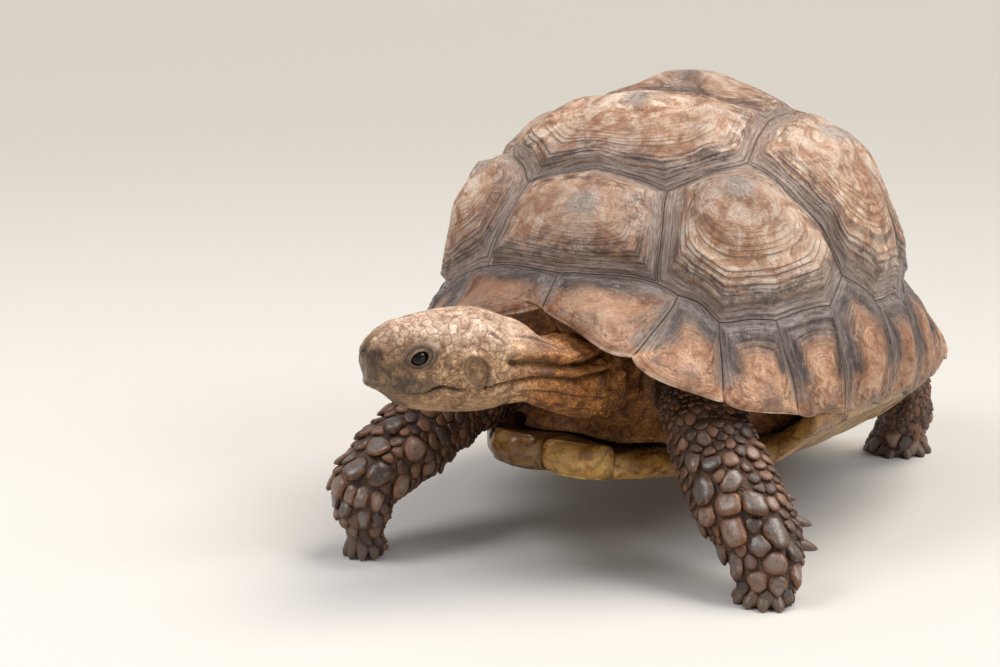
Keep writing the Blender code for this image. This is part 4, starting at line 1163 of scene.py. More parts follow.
# A scale's rings by its number of sides: how far out each is and how high, 0 or more of the full height.
SCALE_PROFILES = {
    10: ((1.0, -1), (0.95, 0.45), (0.62, 0.9)),
    16: ((1.0, -1), (0.98, 0.3), (0.86, 0.74), (0.52, 0.96)),
    28: ((1.0, -1), (0.99, 0.25), (0.93, 0.58), (0.78, 0.84), (0.52, 0.96), (0.25, 0.995)),
}
# The UV map of a leg's scales: the leg unrolled, with a border kept free, each scale a little smaller.
MAP_SPAN, MAP_BORDER, MAP_SIZE = 0.92, 0.04, 0.84


def read_grid(grid, row, side):
    """Values of a closed grid between its points, at fractional rows and sides."""
    rows, sides = grid.shape[:2]
    row, side = np.clip(row, 0, rows - 1.001), np.mod(side, sides)
    r, s = row.astype(int), side.astype(int)
    u, v = (row - r)[:, None], (side - s)[:, None]
    after = (s + 1) % sides
    above, below = (grid[at, s] * (1 - v) + grid[at, after] * v for at in (r, r + 1))
    return above * (1 - u) + below * u


def turned_by(degrees, middle):
    return np.abs(np.mod(degrees - middle + 180, 360) - 180)


def scale_size(name, place, degrees, settings):
    """Radius of an ordinary scale at each place of a leg."""
    middle, spread, first, last = FRONTS[name]
    front = ease(turned_by(degrees, middle), spread + 40, spread - 10)
    front = front * ease(place, first - 0.06, first + 0.1) * ease(place, last + 0.06, last - 0.05)
    return settings.small_scale + (settings.middling_scale - settings.small_scale) * front


def plant(name, grid, skin, settings, seed):
    """Seeds of a leg's scales: centre, normal, across, down, two half sizes, place and turn on the leg."""
    rows, sides = grid.shape[:2]
    normal, down = normals_of(grid), unit(np.gradient(grid, axis=0))
    chance = np.random.default_rng(seed)

    def frames(row, side):
        at, up = read_grid(grid, row, side), unit(read_grid(normal, row, side))
        along = read_grid(down, row, side)
        along = unit(along - up * (along * up).sum(1, keepdims=True))
        return at, up, np.cross(along, up), along

    table = np.array([(*row, 0)[:5] for row in BIG_SCALES[name]]) / (1000, 1, 1000, 1000, 1)
    big = frames(table[:, 0] * (rows - 1), table[:, 1] / 360 * sides)
    lean = np.radians(table[:, 4:5])
    across = big[2] * np.cos(lean) + big[3] * np.sin(lean)
    along = big[3] * np.cos(lean) - big[2] * np.sin(lean)
    big_sizes = table[:, 2:4]
    row = chance.uniform(0.05, 1, settings.scale_tries) * (rows - 1)
    side = chance.uniform(0, sides, settings.scale_tries)
    at, up, over, ahead = frames(row, side)
    degrees = side / sides * 360
    radius = scale_size(name, row / (rows - 1), degrees, settings)
    radius = radius * chance.uniform(0.82, 1.2, len(radius))
    keep = at[:, 2] > 0.0035
    for k in np.flatnonzero(keep):
        _, _, _, away = skin.find_nearest(at[k])
        keep[k] = away < 0.0015
    for centre, x, y, (a, b) in zip(big[0], across, along, big_sizes):
        gap = at - centre
        near = ((gap @ x) / (a + radius * 0.62)) ** 2 + ((gap @ y) / (b + radius * 0.62)) ** 2 < 1
        keep &= ~(near & (np.linalg.norm(gap, axis=1) < 0.02))
    at, up, over, ahead = at[keep], up[keep], over[keep], ahead[keep]
    radius, row, degrees = radius[keep], row[keep], degrees[keep]
    picked = scatter(at, radius * 2 * settings.packing, seed)
    stretch = 1 + 0.12 * chance.uniform(-1, 1, len(picked))
    sizes = np.column_stack([radius[picked] / stretch, radius[picked] * stretch])
    return [np.concatenate(pair) for pair in (
        (big[0], at[picked]), (big[1], up[picked]), (across, over[picked]), (along, ahead[picked]),
        (big_sizes, sizes), (table[:, 0], row[picked] / (rows - 1)),
        (np.mod(table[:, 1], 360), degrees[picked]),
    )]


def reach_of(sizes, cos, sin):
    return sizes[0] * sizes[1] / np.sqrt((sizes[1] * cos) ** 2 + (sizes[0] * sin) ** 2)


def grow_scales(name, grid, skin, settings, finish, seed):
    """A leg's scales as one mesh: each fills its room among the others, its lower edge a little proud."""
    centres, ups, overs, alongs, sizes, places, degrees = plant(name, grid, skin, settings, seed)
    chance = np.random.default_rng(seed + 7)
    tree, biggest = near_points(centres), sizes.max()
    long = np.linalg.norm(np.diff(grid.mean(axis=1), axis=0), axis=1).sum()
    round_about = np.linalg.norm(np.diff(grid, axis=1), axis=2).sum(axis=1).max()
    points, faces, tops, tones, bulks, spots = [], [], [], [], [], []
    start = 0
    for k, (centre, up, x, y, size, place, turn) in enumerate(
            zip(centres, ups, overs, alongs, sizes, places, degrees)):
        mean = float(np.sqrt(size[0] * size[1]))
        sides = 10 if mean < 0.0034 else 16 if mean < 0.0055 else 28
        angle = np.arange(sides) * 2 * math.pi / sides
        cos, sin = np.cos(angle), np.sin(angle)
        reach = reach_of(size, cos, sin) * (settings.fill if mean < 0.0048 else settings.big_fill)
        for _, other, far in tree.find_range(centre, size.max() * 1.3 + biggest * 1.1):
            if other == k or far < 1e-6:
                continue
            gap = centres[other] - centre
            gx, gy = gap @ x, gap @ y
            flat = math.hypot(gx, gy)
            if flat < 1e-6:
                continue
            mine = reach_of(size, gx / flat, gy / flat)
            ox, oy = gap @ overs[other], gap @ alongs[other]
            theirs = max(math.hypot(ox, oy), 1e-9)
            theirs = reach_of(sizes[other], ox / theirs, oy / theirs)
            facing = (cos * gx + sin * gy) / flat
            limit = far * mine / (mine + theirs) / np.maximum(facing, 0.12)
            reach = np.where(facing > 0.12, np.minimum(reach, limit), reach)
        reach = reach * 0.5 + (np.roll(reach, 1) + np.roll(reach, -1)) * 0.25
        reach = np.maximum(reach - settings.scale_gap, mean * 0.25)
        lower = np.clip(sin, 0, 1) ** 2 * settings.overhang
        high = settings.scale_height * min(mean, float(reach.mean())) * (0.9 + 0.2 * chance.random())
        profile = SCALE_PROFILES[sides]
        ring_points = []
        for share_out, rise in profile:
            out = reach * share_out * (1 - lower if rise < 0 else 1 + lower * share_out)
            flat = centre + np.outer(cos * out, x) + np.outer(sin * out, y)
            if mean > 0.0034 or share_out > 0.9:
                snapped = [skin.find_nearest(p) for p in flat]
                flat = np.array([s[0] for s in snapped])
            lift = rise * high + (settings.scale_tilt * sin * reach * share_out if rise > 0 else 0)
            if rise < 0:
                lift = -settings.scale_root
            ring_points.append(flat + np.outer(np.broadcast_to(lift, sides), up))
        top = centre + up * high
        block = np.concatenate([*ring_points, top[None]])
        points.append(block)
        k_ring = np.arange(sides)
        after = (k_ring + 1) % sides
        for ring in range(len(profile) - 1):
            low, upper = start + ring * sides, start + (ring + 1) * sides
            faces += np.column_stack([low + k_ring, low + after, upper + after, upper + k_ring]).tolist()
        last = start + (len(profile) - 1) * sides
        peak = np.full(sides, start + len(block) - 1)
        faces += np.column_stack([last + k_ring, last + after, peak]).tolist()
        start += len(block)
        tops.append(np.append(np.repeat([1 - p[0] if p[1] > 0 else -0.2 for p in profile], sides), 1.0))
        tones.append(np.full(len(block), chance.random()))
        bulks.append(np.full(len(block), ease(mean, 0.003, 0.0065)))
        local = block - centre
        spots.append(np.column_stack([
            turn / 360 * MAP_SPAN + MAP_BORDER + (local @ x) / round_about * MAP_SIZE,
            place * MAP_SPAN + MAP_BORDER + (local @ y) / long * MAP_SIZE]))
    points = np.concatenate(points)
    points[:, 2] = np.maximum(points[:, 2], 0.0004)
    marks = {"top": np.concatenate(tops), "tone": np.concatenate(tones), "bulk": np.concatenate(bulks)}
    made = piece(f"{name}_scales", points, faces, finish, marks)
    spots = np.clip(np.concatenate(spots), 0, 1)
    corners = np.empty(len(made.data.loops), int)
    made.data.loops.foreach_get("vertex_index", corners)
    made.data.uv_layers.new(name="OFBake").data.foreach_set("uv", spots[corners].astype(np.float32).ravel())
    return made


def claw_plans():
    """Root, tip and thickness of each claw and spur in shell fractions, as in the frame."""
    claws, spurs = [], []
    for plan in LEGS.values():
        centre, facing, spread, number, *sizes = plan["foot"]
        centre, (reach, height, long, drop, thick) = np.array(centre) / 1000, np.array(sizes) / 1000
        for k in range(number):
            turn = math.radians(facing + (k - (number - 1) / 2) * spread)
            out = np.array((math.sin(turn), -math.cos(turn), 0))
            root = centre + out * reach
            root[2] = height
            tip = root + out * long
            tip[2] = drop
            claws.append((root - out * 0.012, tip, thick))
        spurs += [(np.array(root) / 1000, np.array(tip) / 1000, thick / 1000)
                  for root, tip, thick in plan.get("spurs", ())]
    return claws, spurs


def claw_tree(finish):
    """Geometry Nodes: a blunt bent cone on every point, turned and sized by the point's own marks."""
    tree = bpy.data.node_groups.new("Claws", "GeometryNodeTree")
    face = tree.interface
    face.new_socket("Geometry", in_out="INPUT", socket_type="NodeSocketGeometry")
    sizes = {"Bend": 0.3, "Bluntness": 0.55}
    for name, value in sizes.items():
        face.new_socket(name, in_out="INPUT", socket_type="NodeSocketFloat").default_value = value
    face.new_socket("Geometry", in_out="OUTPUT", socket_type="NodeSocketGeometry")
    put = partial(add, tree)
    points, bend, blunt = (put("NodeGroupInput", out=number) for number in range(3))
    cone = put("GeometryNodeMeshCylinder", 20, 12, 1, 1.0, 1.0, fill_type="TRIANGLE_FAN")
    at = put("GeometryNodeInputPosition")
    x, y, z = (put("parts", at, out=number) for number in range(3))
    # t runs from 0 at the root to 1 at the tip.
    t = put("plus", z, 0.5)
    slim = put("power", put("minus", 1.0, put("power", t, 1.5), use_clamp=True), blunt)
    fall = put("times", put("times", t, t), bend)
    shaped = put("place", put("times", x, slim), put("minus", put("times", y, slim), fall), t)
    shaped = put("kept", put("set_place", cone, shaped), "along", t)
    spread = put("set_out", points, shaped, put("named", "turn"), put("named", "size"))
    dressed = put("dressed", put("GeometryNodeRealizeInstances", spread), finish)
    put("NodeGroupOutput", put("GeometryNodeSetShadeSmooth", dressed))
    return tree


def grow_claws(name, rows, finish, bend, blunt, fat, worn):
    """A claw or spur on each root, fatter and worn shorter by the shares given."""
    mesh = bpy.data.meshes.new(f"{name}_points")
    roots, turns, sizes = [], [], []
    for root, tip, thick in rows:
        root, tip = (np.array(p) * SHELL + OFFSET for p in (root, tip))
        way = Vector(tip - root)
        # A claw bends down towards its own -Y, so its Y is turned up.
        x = Vector((0, 0, 1)).cross(way).normalized()
        place = Matrix((x, way.cross(x).normalized(), way.normalized())).transposed()
        roots.append(root)
        turns.append(place.to_euler()[:])
        sizes.append((thick * SHELL * fat, thick * SHELL * fat * 0.82, way.length * worn))
    mesh.from_pydata([tuple(r) for r in roots], [], [])
    for mark, values in (("turn", turns), ("size", sizes)):
        held = mesh.attributes.new(mark, "FLOAT_VECTOR", "POINT").data
        held.foreach_set("vector", np.ravel(values).astype(np.float32))
    made = placed_object(name, mesh)
    grown = made.modifiers.new("grow", "NODES")
    grown.node_group = claw_tree(finish)
    for socket in grown.node_group.interface.items_tree:
        if socket.name in ("Bend", "Bluntness"):
            grown[socket.identifier] = bend if socket.name == "Bend" else blunt
    baked(made)
    return made


# ---- finishes ----


def new_finish(name, *marks):
    """An empty material, how to add a node to it, its shader, object coordinates and the marks named."""
    made = bpy.data.materials.new(name)
    made.use_nodes = True
    put = partial(add, made.node_tree)
    shader = made.node_tree.nodes["Principled BSDF"]
    return made, put, shader, put("coordinates"), *(put("mark", attribute_name=key) for key in marks)


def finish_with(shader, base, rough, height, depth):
    """Joins colour, roughness and a relief of the given depth in metres to the shader."""
    tree = shader.id_data
    relief = add(tree, "bump", height, depth, 1)
    for socket, value in (("Base Color", base), ("Roughness", rough), ("Normal", relief)):
        tree.links.new(value, shader.inputs[socket])


def shell_keratin(name, tones):
    """Keratin grown in rings, worn by sand: dull, tan on top, grey-brown where the youngest rings meet."""
    made, put, shader, where, edge, growth, ring, core, crisp, tone, bare = new_finish(
        name, "edge", "growth", "ring", "core", "crisp", "tone", "open_edge")
    lie = put("mark", attribute_name="lie", out=1)
    wide, region, blotch, fine, stain, scuffs = (put("noise", where, grain(mm), *kind) for mm, *kind in (
        (34, 5, 0.62, 0.5), (110, 2, 0.5, 0), (10, 5, 0.68, 0.9), (1.5, 3, 0.6, 0), (15, 6, 0.72, 1.6),
        (4, 5, 0.75, 1.5)))
    streak, hair, crack = (put("noise", put("stretched", lie, size), *kind) for size, *kind in (
        ((5, 5, 0.22), 1, 6, 0.72, 0.1), ((7, 7, 0.95), 1, 4, 0.65, 0),
        ((26, 26, 0.22), 1.1, 2, 0.6, 0)))
    # Close to the heart the lines lose their way, so even blotches take over.
    calm = put("range", ring, 0.6, 0.9)
    streak, hair = (put("plus", lines, put("times", calm, put("minus", even, lines)))
                    for lines, even in ((streak, blotch), (hair, fine)))
    base = put("ramp", put("times_plus", streak, 0.28, put("times", blotch, 0.72)), stops=[
        (0.37, tones["deep"]), (0.44, tones["brown"]), (0.5, tones["tan"]), (0.58, tones["pale"])])
    # On the plastron the rings towards the heart are painted paler in broad patches, most on the left front
    # plates: painted light. The carapace gets none.
    pale_painted_light = put("times", put("range", ring, 0.22, 0.5), put("range", wide, 0.36, 0.56))
    pale_painted_light = put("times", pale_painted_light, put("times", put("power", put("minus", 1, tone), 2), tones["pale_painted_light"]))
    # Streaks run with the rings, because each ring took up a little different colour. Earth has
    # stained it in patches, rusty where thin and nearly black where thick.
    for share, tint in (
        (put("range", wide, 0.44, 0.62, 0, 0.4), "pale"),
        (put("range", hair, 0.54, 0.68, 0, 0.34), "pale"),
        # The tone mark dulls each plate by its own amount; on the plastron's right front plates the dulling
        # is painted shade.
        (put("range", hair, 0.45, 0.32, 0, 0.42), "deep"), (put("times", tone, tones["dulling"]), "dull"),
        (put("range", region, 0.52, 0.38, 0, 0.4), "deep"), (pale_painted_light, "pale"),
        (put("range", stain, 0.49, 0.56, 0, 0.6), "rust"),
        (put("range", stain, 0.56, 0.64, 0, tones["stains"]), "line"),
    ):
        base = put("mix", share, base, tones[tint])
    # Dark lines between the rings, strongest near the seam and broken by patches.
    patch = put("range", blotch, 0.38, 0.6)
    swing = put("plus", put("sine", put("times", growth, 2 * math.pi)), put("times", blotch, 0.8))
    near = put("range", put("plus", ring, put("times", wide, 0.5)), 0.35, 1.05, 1, 0)
    near = put("times", near, put("range", crisp, 0, 0.8, 0.2, 1))
    line = put("times", put("range", swing, 0.05, -0.7), near)
    line = put("times", line, put("range", patch, 0, 1, 0.35, 1))
    # Damp and earth darken the lower borders.
    covered = put("minus", 1, bare)
    damp = put("times", put("range", edge, 34, 8), covered)
    soaked = put("times_plus", blotch, 1.6, put("times_plus", crisp, tones["soak"], 0))
    damp = put("times", damp, put("range", soaked, 1.25, 1.95))
    # Where the top meets the grey seam band the horn is darkest, in broken dashes.
    inward, wide_band = put("plus", edge, put("times_plus", blotch, 20, -10)), tones["band"]
    border = put("times", put("range", inward, wide_band * 0.7, wide_band * 1.2),
                 put("range", inward, wide_band * 2.6, wide_band * 1.4))
    dash = put("times", border, put("range", streak, 0.56, 0.42))
    band = put("range", inward, wide_band * 0.55, wide_band * 1.15, 1, 0)
    band = put("times", band, put("range", bare, 0, 0.35, tones["banding"], 0))
    grey = put("mix", put("range", hair, 0.38, 0.62), tones["seam"], tones["seam_light"])
    # The oldest shell, at the heart, is worn smooth and grey.
    old = put("range", put("times_plus", blotch, 26, core), 31, 15, 0, tones["old_share"])
    aged = put("mix", put("range", blotch, 0.42, 0.56), tones["old"], tones["old_dark"])
    # Flecks and short cracks across the rings, pale scuffs, a worn pale free edge and dark crevices.
    fleck = put("range", put("times", crack, patch), 0.52, 0.64)
    fleck = put("times", fleck, put("minus", 1, calm))
    worn = put("times", put("range", bare, 0.45, 1), put("range", blotch, 0.38, 0.62, 0.05, 0.55))
    for share, tint in (
        (put("times", line, tones["lines"]), tones["line"]),
        (put("times", damp, tones["damp"]), tones["old_dark"]),
        (put("times", dash, 0.62), tones["line"]), (band, grey), (old, aged),
        (put("times", fleck, tones["flecks"]), tones["line"]),
        (put("range", scuffs, 0.58, 0.72, 0, 0.38), tones["scuff"]), (worn, tones["scuff"]),
        (put("times", put("range", edge, 1.3, 0.1, 0, 0.42), covered), tones["crevice"]),
    ):
        base = put("mix", share, base, tint)
    base = put("mix", 0.3, base, put("mix", fine, "#606060", "#ffffff"), blend_type="MULTIPLY")
    rough = put("range", blotch, 0.3, 0.7, tones["gloss"], tones["gloss"] + 0.22)
    height = put("times_plus", hair, 1.1, put("times", fine, 0.45))
    height = put("plus", height, put("times", streak, 0.9))
    height = put("minus", height, put("times_plus", line, 0.45, put("times", fleck, 0.3)))
    finish_with(shader, base, rough, height, 0.0007)
    return made


BACK_TONES = {
    "deep": "#785038", "brown": "#a97f5e", "tan": "#cda685", "pale": "#ecd7c0", "line": "#2e2019",
    "seam": "#6b5c53", "seam_light": "#a69386", "old": "#a1968b", "old_dark": "#625c59", "scuff": "#e6d6c2",
    "crevice": "#43362e", "rust": "#9c6238", "dull": "#a47853", "soak": 1.0, "pale_painted_light": 0.0, "lines": 1.0,
    "band": 11.5, "banding": 0.72, "old_share": 0.8, "flecks": 0.22, "dulling": 0.2, "stains": 0.4,
    "damp": 0.65, "gloss": 0.31,
}
RIM_TONES = {
    **BACK_TONES, "deep": "#6d432b", "brown": "#9f6b48", "tan": "#c48d64", "pale": "#e0b48d",
    "dull": "#7d6252", "old_dark": "#57504d", "seam": "#645850", "seam_light": "#9a897c", "soak": 1.35,
    "lines": 0.85, "band": 8.5, "old_share": 0.2, "dulling": 0.62, "stains": 0.5, "damp": 0.9,
}
# On the plastron the dull colour is painted shade, laid on by the tone mark, and the pale painted light is at
# full strength.
BELLY_TONES = {
    **BACK_TONES, "deep": "#5a3814", "brown": "#8f602a", "tan": "#d69a4a", "pale": "#ffcf70",
    "line": "#26160a", "seam": "#2e1a0c", "seam_light": "#6b421c", "old": "#8d7f68", "old_dark": "#4d4335",
    "scuff": "#a87a42", "crevice": "#241409", "rust": "#8a5a24", "dull": "#241206", "pale_painted_light": 1.0,
    "lines": 0.35, "band": 5.0, "banding": 0.75, "old_share": 0.1, "dulling": 0.72, "stains": 0.35,
    "damp": 0.3, "gloss": 0.2,
}


def tortoise_hide(name):
    """Dry reptile skin of fine grains in folds: dull, sandy on head and neck, dark earth on the legs."""
    made, put, shader, where, pale, tone, neck, dark, dusk, beak, lid, groove, hollow = new_finish(
        name, "pale", "tone", "neck", "dark", "dusk", "horn", "lid", "groove", "hollow")
    wide, blotch, fine, speck, jaw_patches_and_shade = (put("noise", where, grain(mm), *kind) for mm, *kind in (
        (20, 4, 0.6, 0.3), (5, 5, 0.66, 0.6), (0.9, 3, 0.6, 0), (2.6, 4, 0.7, 0.8), (9, 5, 0.7, 1.2)))
    sand, crown = (put("ramp", blotch, stops=stops) for stops in (
        ((0.3, "#72502f"), (0.43, "#ad8258"), (0.54, "#d9ad7c"), (0.7, "#f0cfa2")),
        ((0.3, "#7c5a48"), (0.42, "#b39077"), (0.53, "#d8baa0"), (0.7, "#efdcc8"))))
    base = put("mix", pale, sand, crown)
    throat = put("mix", put("range", blotch, 0.35, 0.62), "#8e5122", "#d68f44")
    earth = put("mix", put("range", blotch, 0.35, 0.65), "#2a1a10", "#5a3d26")
    shade = put("mix", put("range", speck, 0.38, 0.6), "#3a2a1e", "#735840")
    grown = put("noise", put("stretched", where, (1, 1, 0.28)), grain(2.2), 4, 0.6, 0)
    mottle = put("times_plus", blotch, 0.35, put("times", grown, 0.3))
    mottle = put("times_plus", wide, 0.35, mottle)
    horn = put("ramp", mottle, stops=((0.42, "#1a1009"), (0.5, "#412c1a"), (0.6, "#8b6b4a")))
    horn = put("mix", put("range", speck, 0.5, 0.6, 0, 0.7), horn, "#251810")
    cells = put("cells", where, 1 / 0.0019, 0.9)
    grained = put("range", put("plus", neck, dark), 0, 1, 0.3, 1)
    grained = put("times", put("minus", 1, beak), grained)
    between = put("times", put("range", cells, 0.3, 0.62), grained)
    # The jaw and the lower head are darkened in broad patches, partly their own colour and partly painted
    # shade; the horn of the beak too.
    jaw_patches_and_shade = put("times", put("range", jaw_patches_and_shade, 0.46, 0.6, 0, 0.66), put("minus", 1, pale))
    for share, tint in (
        (put("range", tone, 0, 1, 0, 0.4), "#8d6548"),
        (put("range", wide, 0.5, 0.62, 0, 0.5), "#7a5638"),
        (put("range", speck, 0.55, 0.66, 0, 0.55), "#6a4638"),
        (put("range", speck, 0.45, 0.34, 0, 0.4), "#efd9b6"),
        (neck, put("mix", pale, throat, crown)), (dark, earth),
        # Broad dark patches on the lower head: partly its own colour and partly painted shade.
        (put("times", jaw_patches_and_shade, put("minus", 1, dark)), "#4f3421"),
        # Darker skin by the eye and the ear, and painted shade under the jaw.
        (put("times", dusk, 0.85), shade), (put("times", beak, 0.88), horn),
        (put("times", lid, 0.75), "#705a42"), (put("times", between, 0.45), "#372414"),
        # Near black in the hollows: painted shade.
        (put("times", groove, 0.66), "#4e3522"), (hollow, "#0f0a07"),
    ):
        base = put("mix", share, base, tint)
    rough = put("range", beak, 0, 1, 0.62, 0.36)
    height = put("minus", put("times", fine, 0.35), put("times", between, 0.6))
    height = put("plus", height, put("times", blotch, 0.7))
    finish_with(shader, base, rough, height, 0.0006)
    return made


def scale_horn(name):
    """Horny scales like worn buttons: brown rims, a smooth grey top on the large ones, partly polished horn
    and partly painted sheen.
    """
    made, put, shader, where, top, tone, bulk = new_finish(name, "top", "tone", "bulk")
    blotch = put("noise", where, grain(4), 5, 0.66, 0.5)
    fine = put("noise", where, grain(0.8), 3, 0.6, 0)
    rim = put("mix", put("range", tone, 0.2, 0.9), "#341d0f", "#6a4024")
    rim = put("mix", put("range", blotch, 0.47, 0.64, 0, 0.7), rim, "#905f3a")
    # The large scales' grey tops are partly the polished horn's own colour and partly painted sheen.
    worn = put("mix", tone, "#2e2823", "#857e77")
    worn = put("mix", put("range", tone, 0.5, 0.85, 0, 0.45), worn, "#83593a")
    worn = put("mix", put("range", blotch, 0.44, 0.6, 0, 0.58), worn, "#593a25")
    worn = put("mix", bulk, put("mix", put("range", tone, 0.3, 0.8), "#3c2415", "#6c4529"), worn)
    crown = put("range", put("plus", top, put("times_plus", blotch, 0.9, -0.45)), 0.08, 0.42)
    base = put("mix", crown, rim, worn)
    # Near black at each scale's foot, where it meets the skin: painted shade between the scales.
    base = put("mix", put("range", top, 0.04, -0.12, 0, 0.95), base, "#150c07")
    base = put("mix", put("range", fine, 0.56, 0.7, 0, 0.35), base, "#a98f75")
    rough = put("range", put("times", crown, bulk), 0, 1, 0.52, 0.27)
    finish_with(shader, base, rough, put("times_plus", fine, 0.4, blotch), 0.0004)
    return made


def claw_horn(name):
    """Thick claw horn: dark at the root, grey-brown with a fine grain in its relief, paler where worn."""
    made, put, shader, where, along = new_finish(name, "along")
    blotch = put("noise", where, grain(3.5), 4, 0.6, 0.6)
    fine = put("noise", where, grain(0.7), 2, 0.6, 0)
    worn = put("range", put("times_plus", blotch, 0.9, along), 0.45, 1.45)
    base = put("mix", worn, "#1f150e", "#5e4c3c")
    base = put("mix", put("range", blotch, 0.5, 0.68, 0, 0.6), base, "#4a3422")
    base = put("mix", put("range", along, 0.25, 0, 0, 0.8), base, "#160e08")
    rough = put("range", blotch, 0.3, 0.7, 0.3, 0.5)
    finish_with(shader, base, rough, put("times_plus", fine, 0.5, blotch), 0.0003)
    return made


def wet_eye(name, light):
    """A wet dark eyeball: black pupil, a deep brown iris that hardly shows, and a clear glossy film."""
    made, put, shader, where, off = new_finish(name, "off_gaze")
    lines = put("noise", where, grain(0.7), 3, 0.5, 0)
    iris = put("mix", put("range", lines, 0.35, 0.65), "#150d07", tuple(light))
    base = put("mix", put("range", off, 18, 21), "#030202", iris)
    base = put("mix", put("range", off, 40, 46), base, "#0c0806")
    made.node_tree.links.new(base, shader.inputs["Base Color"])
    for socket, value in (("Roughness", 0.07), ("IOR", 1.33)):
        shader.inputs[socket].default_value = value
    return made


# ---- settings ----


def length(name, size, text):
    return bpy.props.FloatProperty(name=name, default=size, description=text, unit="LENGTH", precision=5)


def share(name, value, text):
    return bpy.props.FloatProperty(name=name, default=value, description=text)


def count(name, value, text):
    return bpy.props.IntProperty(name=name, default=value, min=1, description=text)


def paint(name, code, text):
    return bpy.props.FloatVectorProperty(name=name, default=colour(code), size=4, subtype="COLOR",
                                         description=text)


class ShellSettings(bpy.types.PropertyGroup):
    plate: length("Plate", 0.006, "Thickness of a plate of the carapace")
    seam: length("Seam", 0.00005, "Kept back from each side of a seam")
    shoulder: length("Shoulder", 0.00022, "Rounding of a plate's side at a seam")
    overlap: length("Overlap", 0.0026, "How proud a front flap stands of the one before it")
    ridge: length("Ridge", 0.0013, "Height of a growth ring")
    band: length("Seam band", 0.0125, "Width of the low band of young rings along a seam")
    step: length("Step", 0.004, "Step from the seam band up to the worn top")
    unevenness: length("Unevenness", 0.0013, "Depth of the dents in a plate's top")
    knob: length("Knob", 0.0035, "Height of the rounded knob at a plate's heart")
    heart_rise: length("Heart rise", 0.0006, "How proud the oldest part stands")
    detail: share("Detail", 0.0125, "Step along a seam, as a share of the shell's radius")
    rim_detail: share("Rim detail", 0.009, "The same on the marginals")
    belly_detail: share("Belly detail", 0.011, "The same on the plastron, as a share of the shell's length")
    rings: count("Rings", 20, "Growth rings of a large plate")
    rim_rings: count("Rim rings", 14, "Growth rings of a marginal")
    belly_rings: count("Belly rings", 7, "Growth rings of a plastron plate")
    rows: count("Rows to a ring", 4, "Rows of faces across one growth ring")
    crowding: share("Crowding", 1.35, "Above 1 the rings lie closer together near the seam")
    ring_reach: share("Ring reach", 0.5, "How far in from the seam the rings stay strong")
    inner_rings: share("Inner rings", 0.5, "Strength of the worn rings near the heart")
    dome: share("Dome", 0.95, "Above 1 a plate rises more slowly from its seam")
    lip_round: share("Lip rounding", 0.8, "How round the plastron's open edge is")


class StageSettings(bpy.types.PropertyGroup):
    floor: paint("Floor", "#c6c2ba", "Colour of the floor")
    sun: share("Skylight", 2.8, "Strength of the broad soft light from above")
    spread: length("Floor size", 400.0, "Width of the floor")
    lens: share("Lens", 61.236, "Focal length in millimetres on a 36 mm wide sensor")
    turn: share("Camera turn", 34.38, "Degrees that the camera looks to the animal's right of its front")
    tilt: share("Camera tilt", 11.31, "Degrees that the camera looks down")
    place: bpy.props.FloatVectorProperty(name="Camera", default=(0.6206, -1.1275, 0.3933),
                                         subtype="TRANSLATION", description="Where the camera stands")


# ---- operators ----


class TORTOISE_OT_carapace(bpy.types.Operator):
    """Grow the 36 plates of the shell's top and rim"""

    bl_idname = "tortoise.carapace"
    bl_label = "Carapace"

    def execute(self, context):
        back, rim = shell_keratin("Worn shell keratin", BACK_TONES), shell_keratin("Rim keratin", RIM_TONES)
        for slot, made, node in grow_carapace(context.scene.tortoise_shell, back, rim):
            settle(made, slot, node)
        return {"FINISHED"}


class TORTOISE_OT_plastron(bpy.types.Operator):
    """Grow the 12 plates of the shell's underside"""

    bl_idname = "tortoise.plastron"
    bl_label = "Plastron"

    def execute(self, context):
        belly = shell_keratin("Polished plastron keratin", BELLY_TONES)
        for slot, made, node in grow_plastron(context.scene.tortoise_shell, belly):
            settle(made, slot, node)
        return {"FINISHED"}


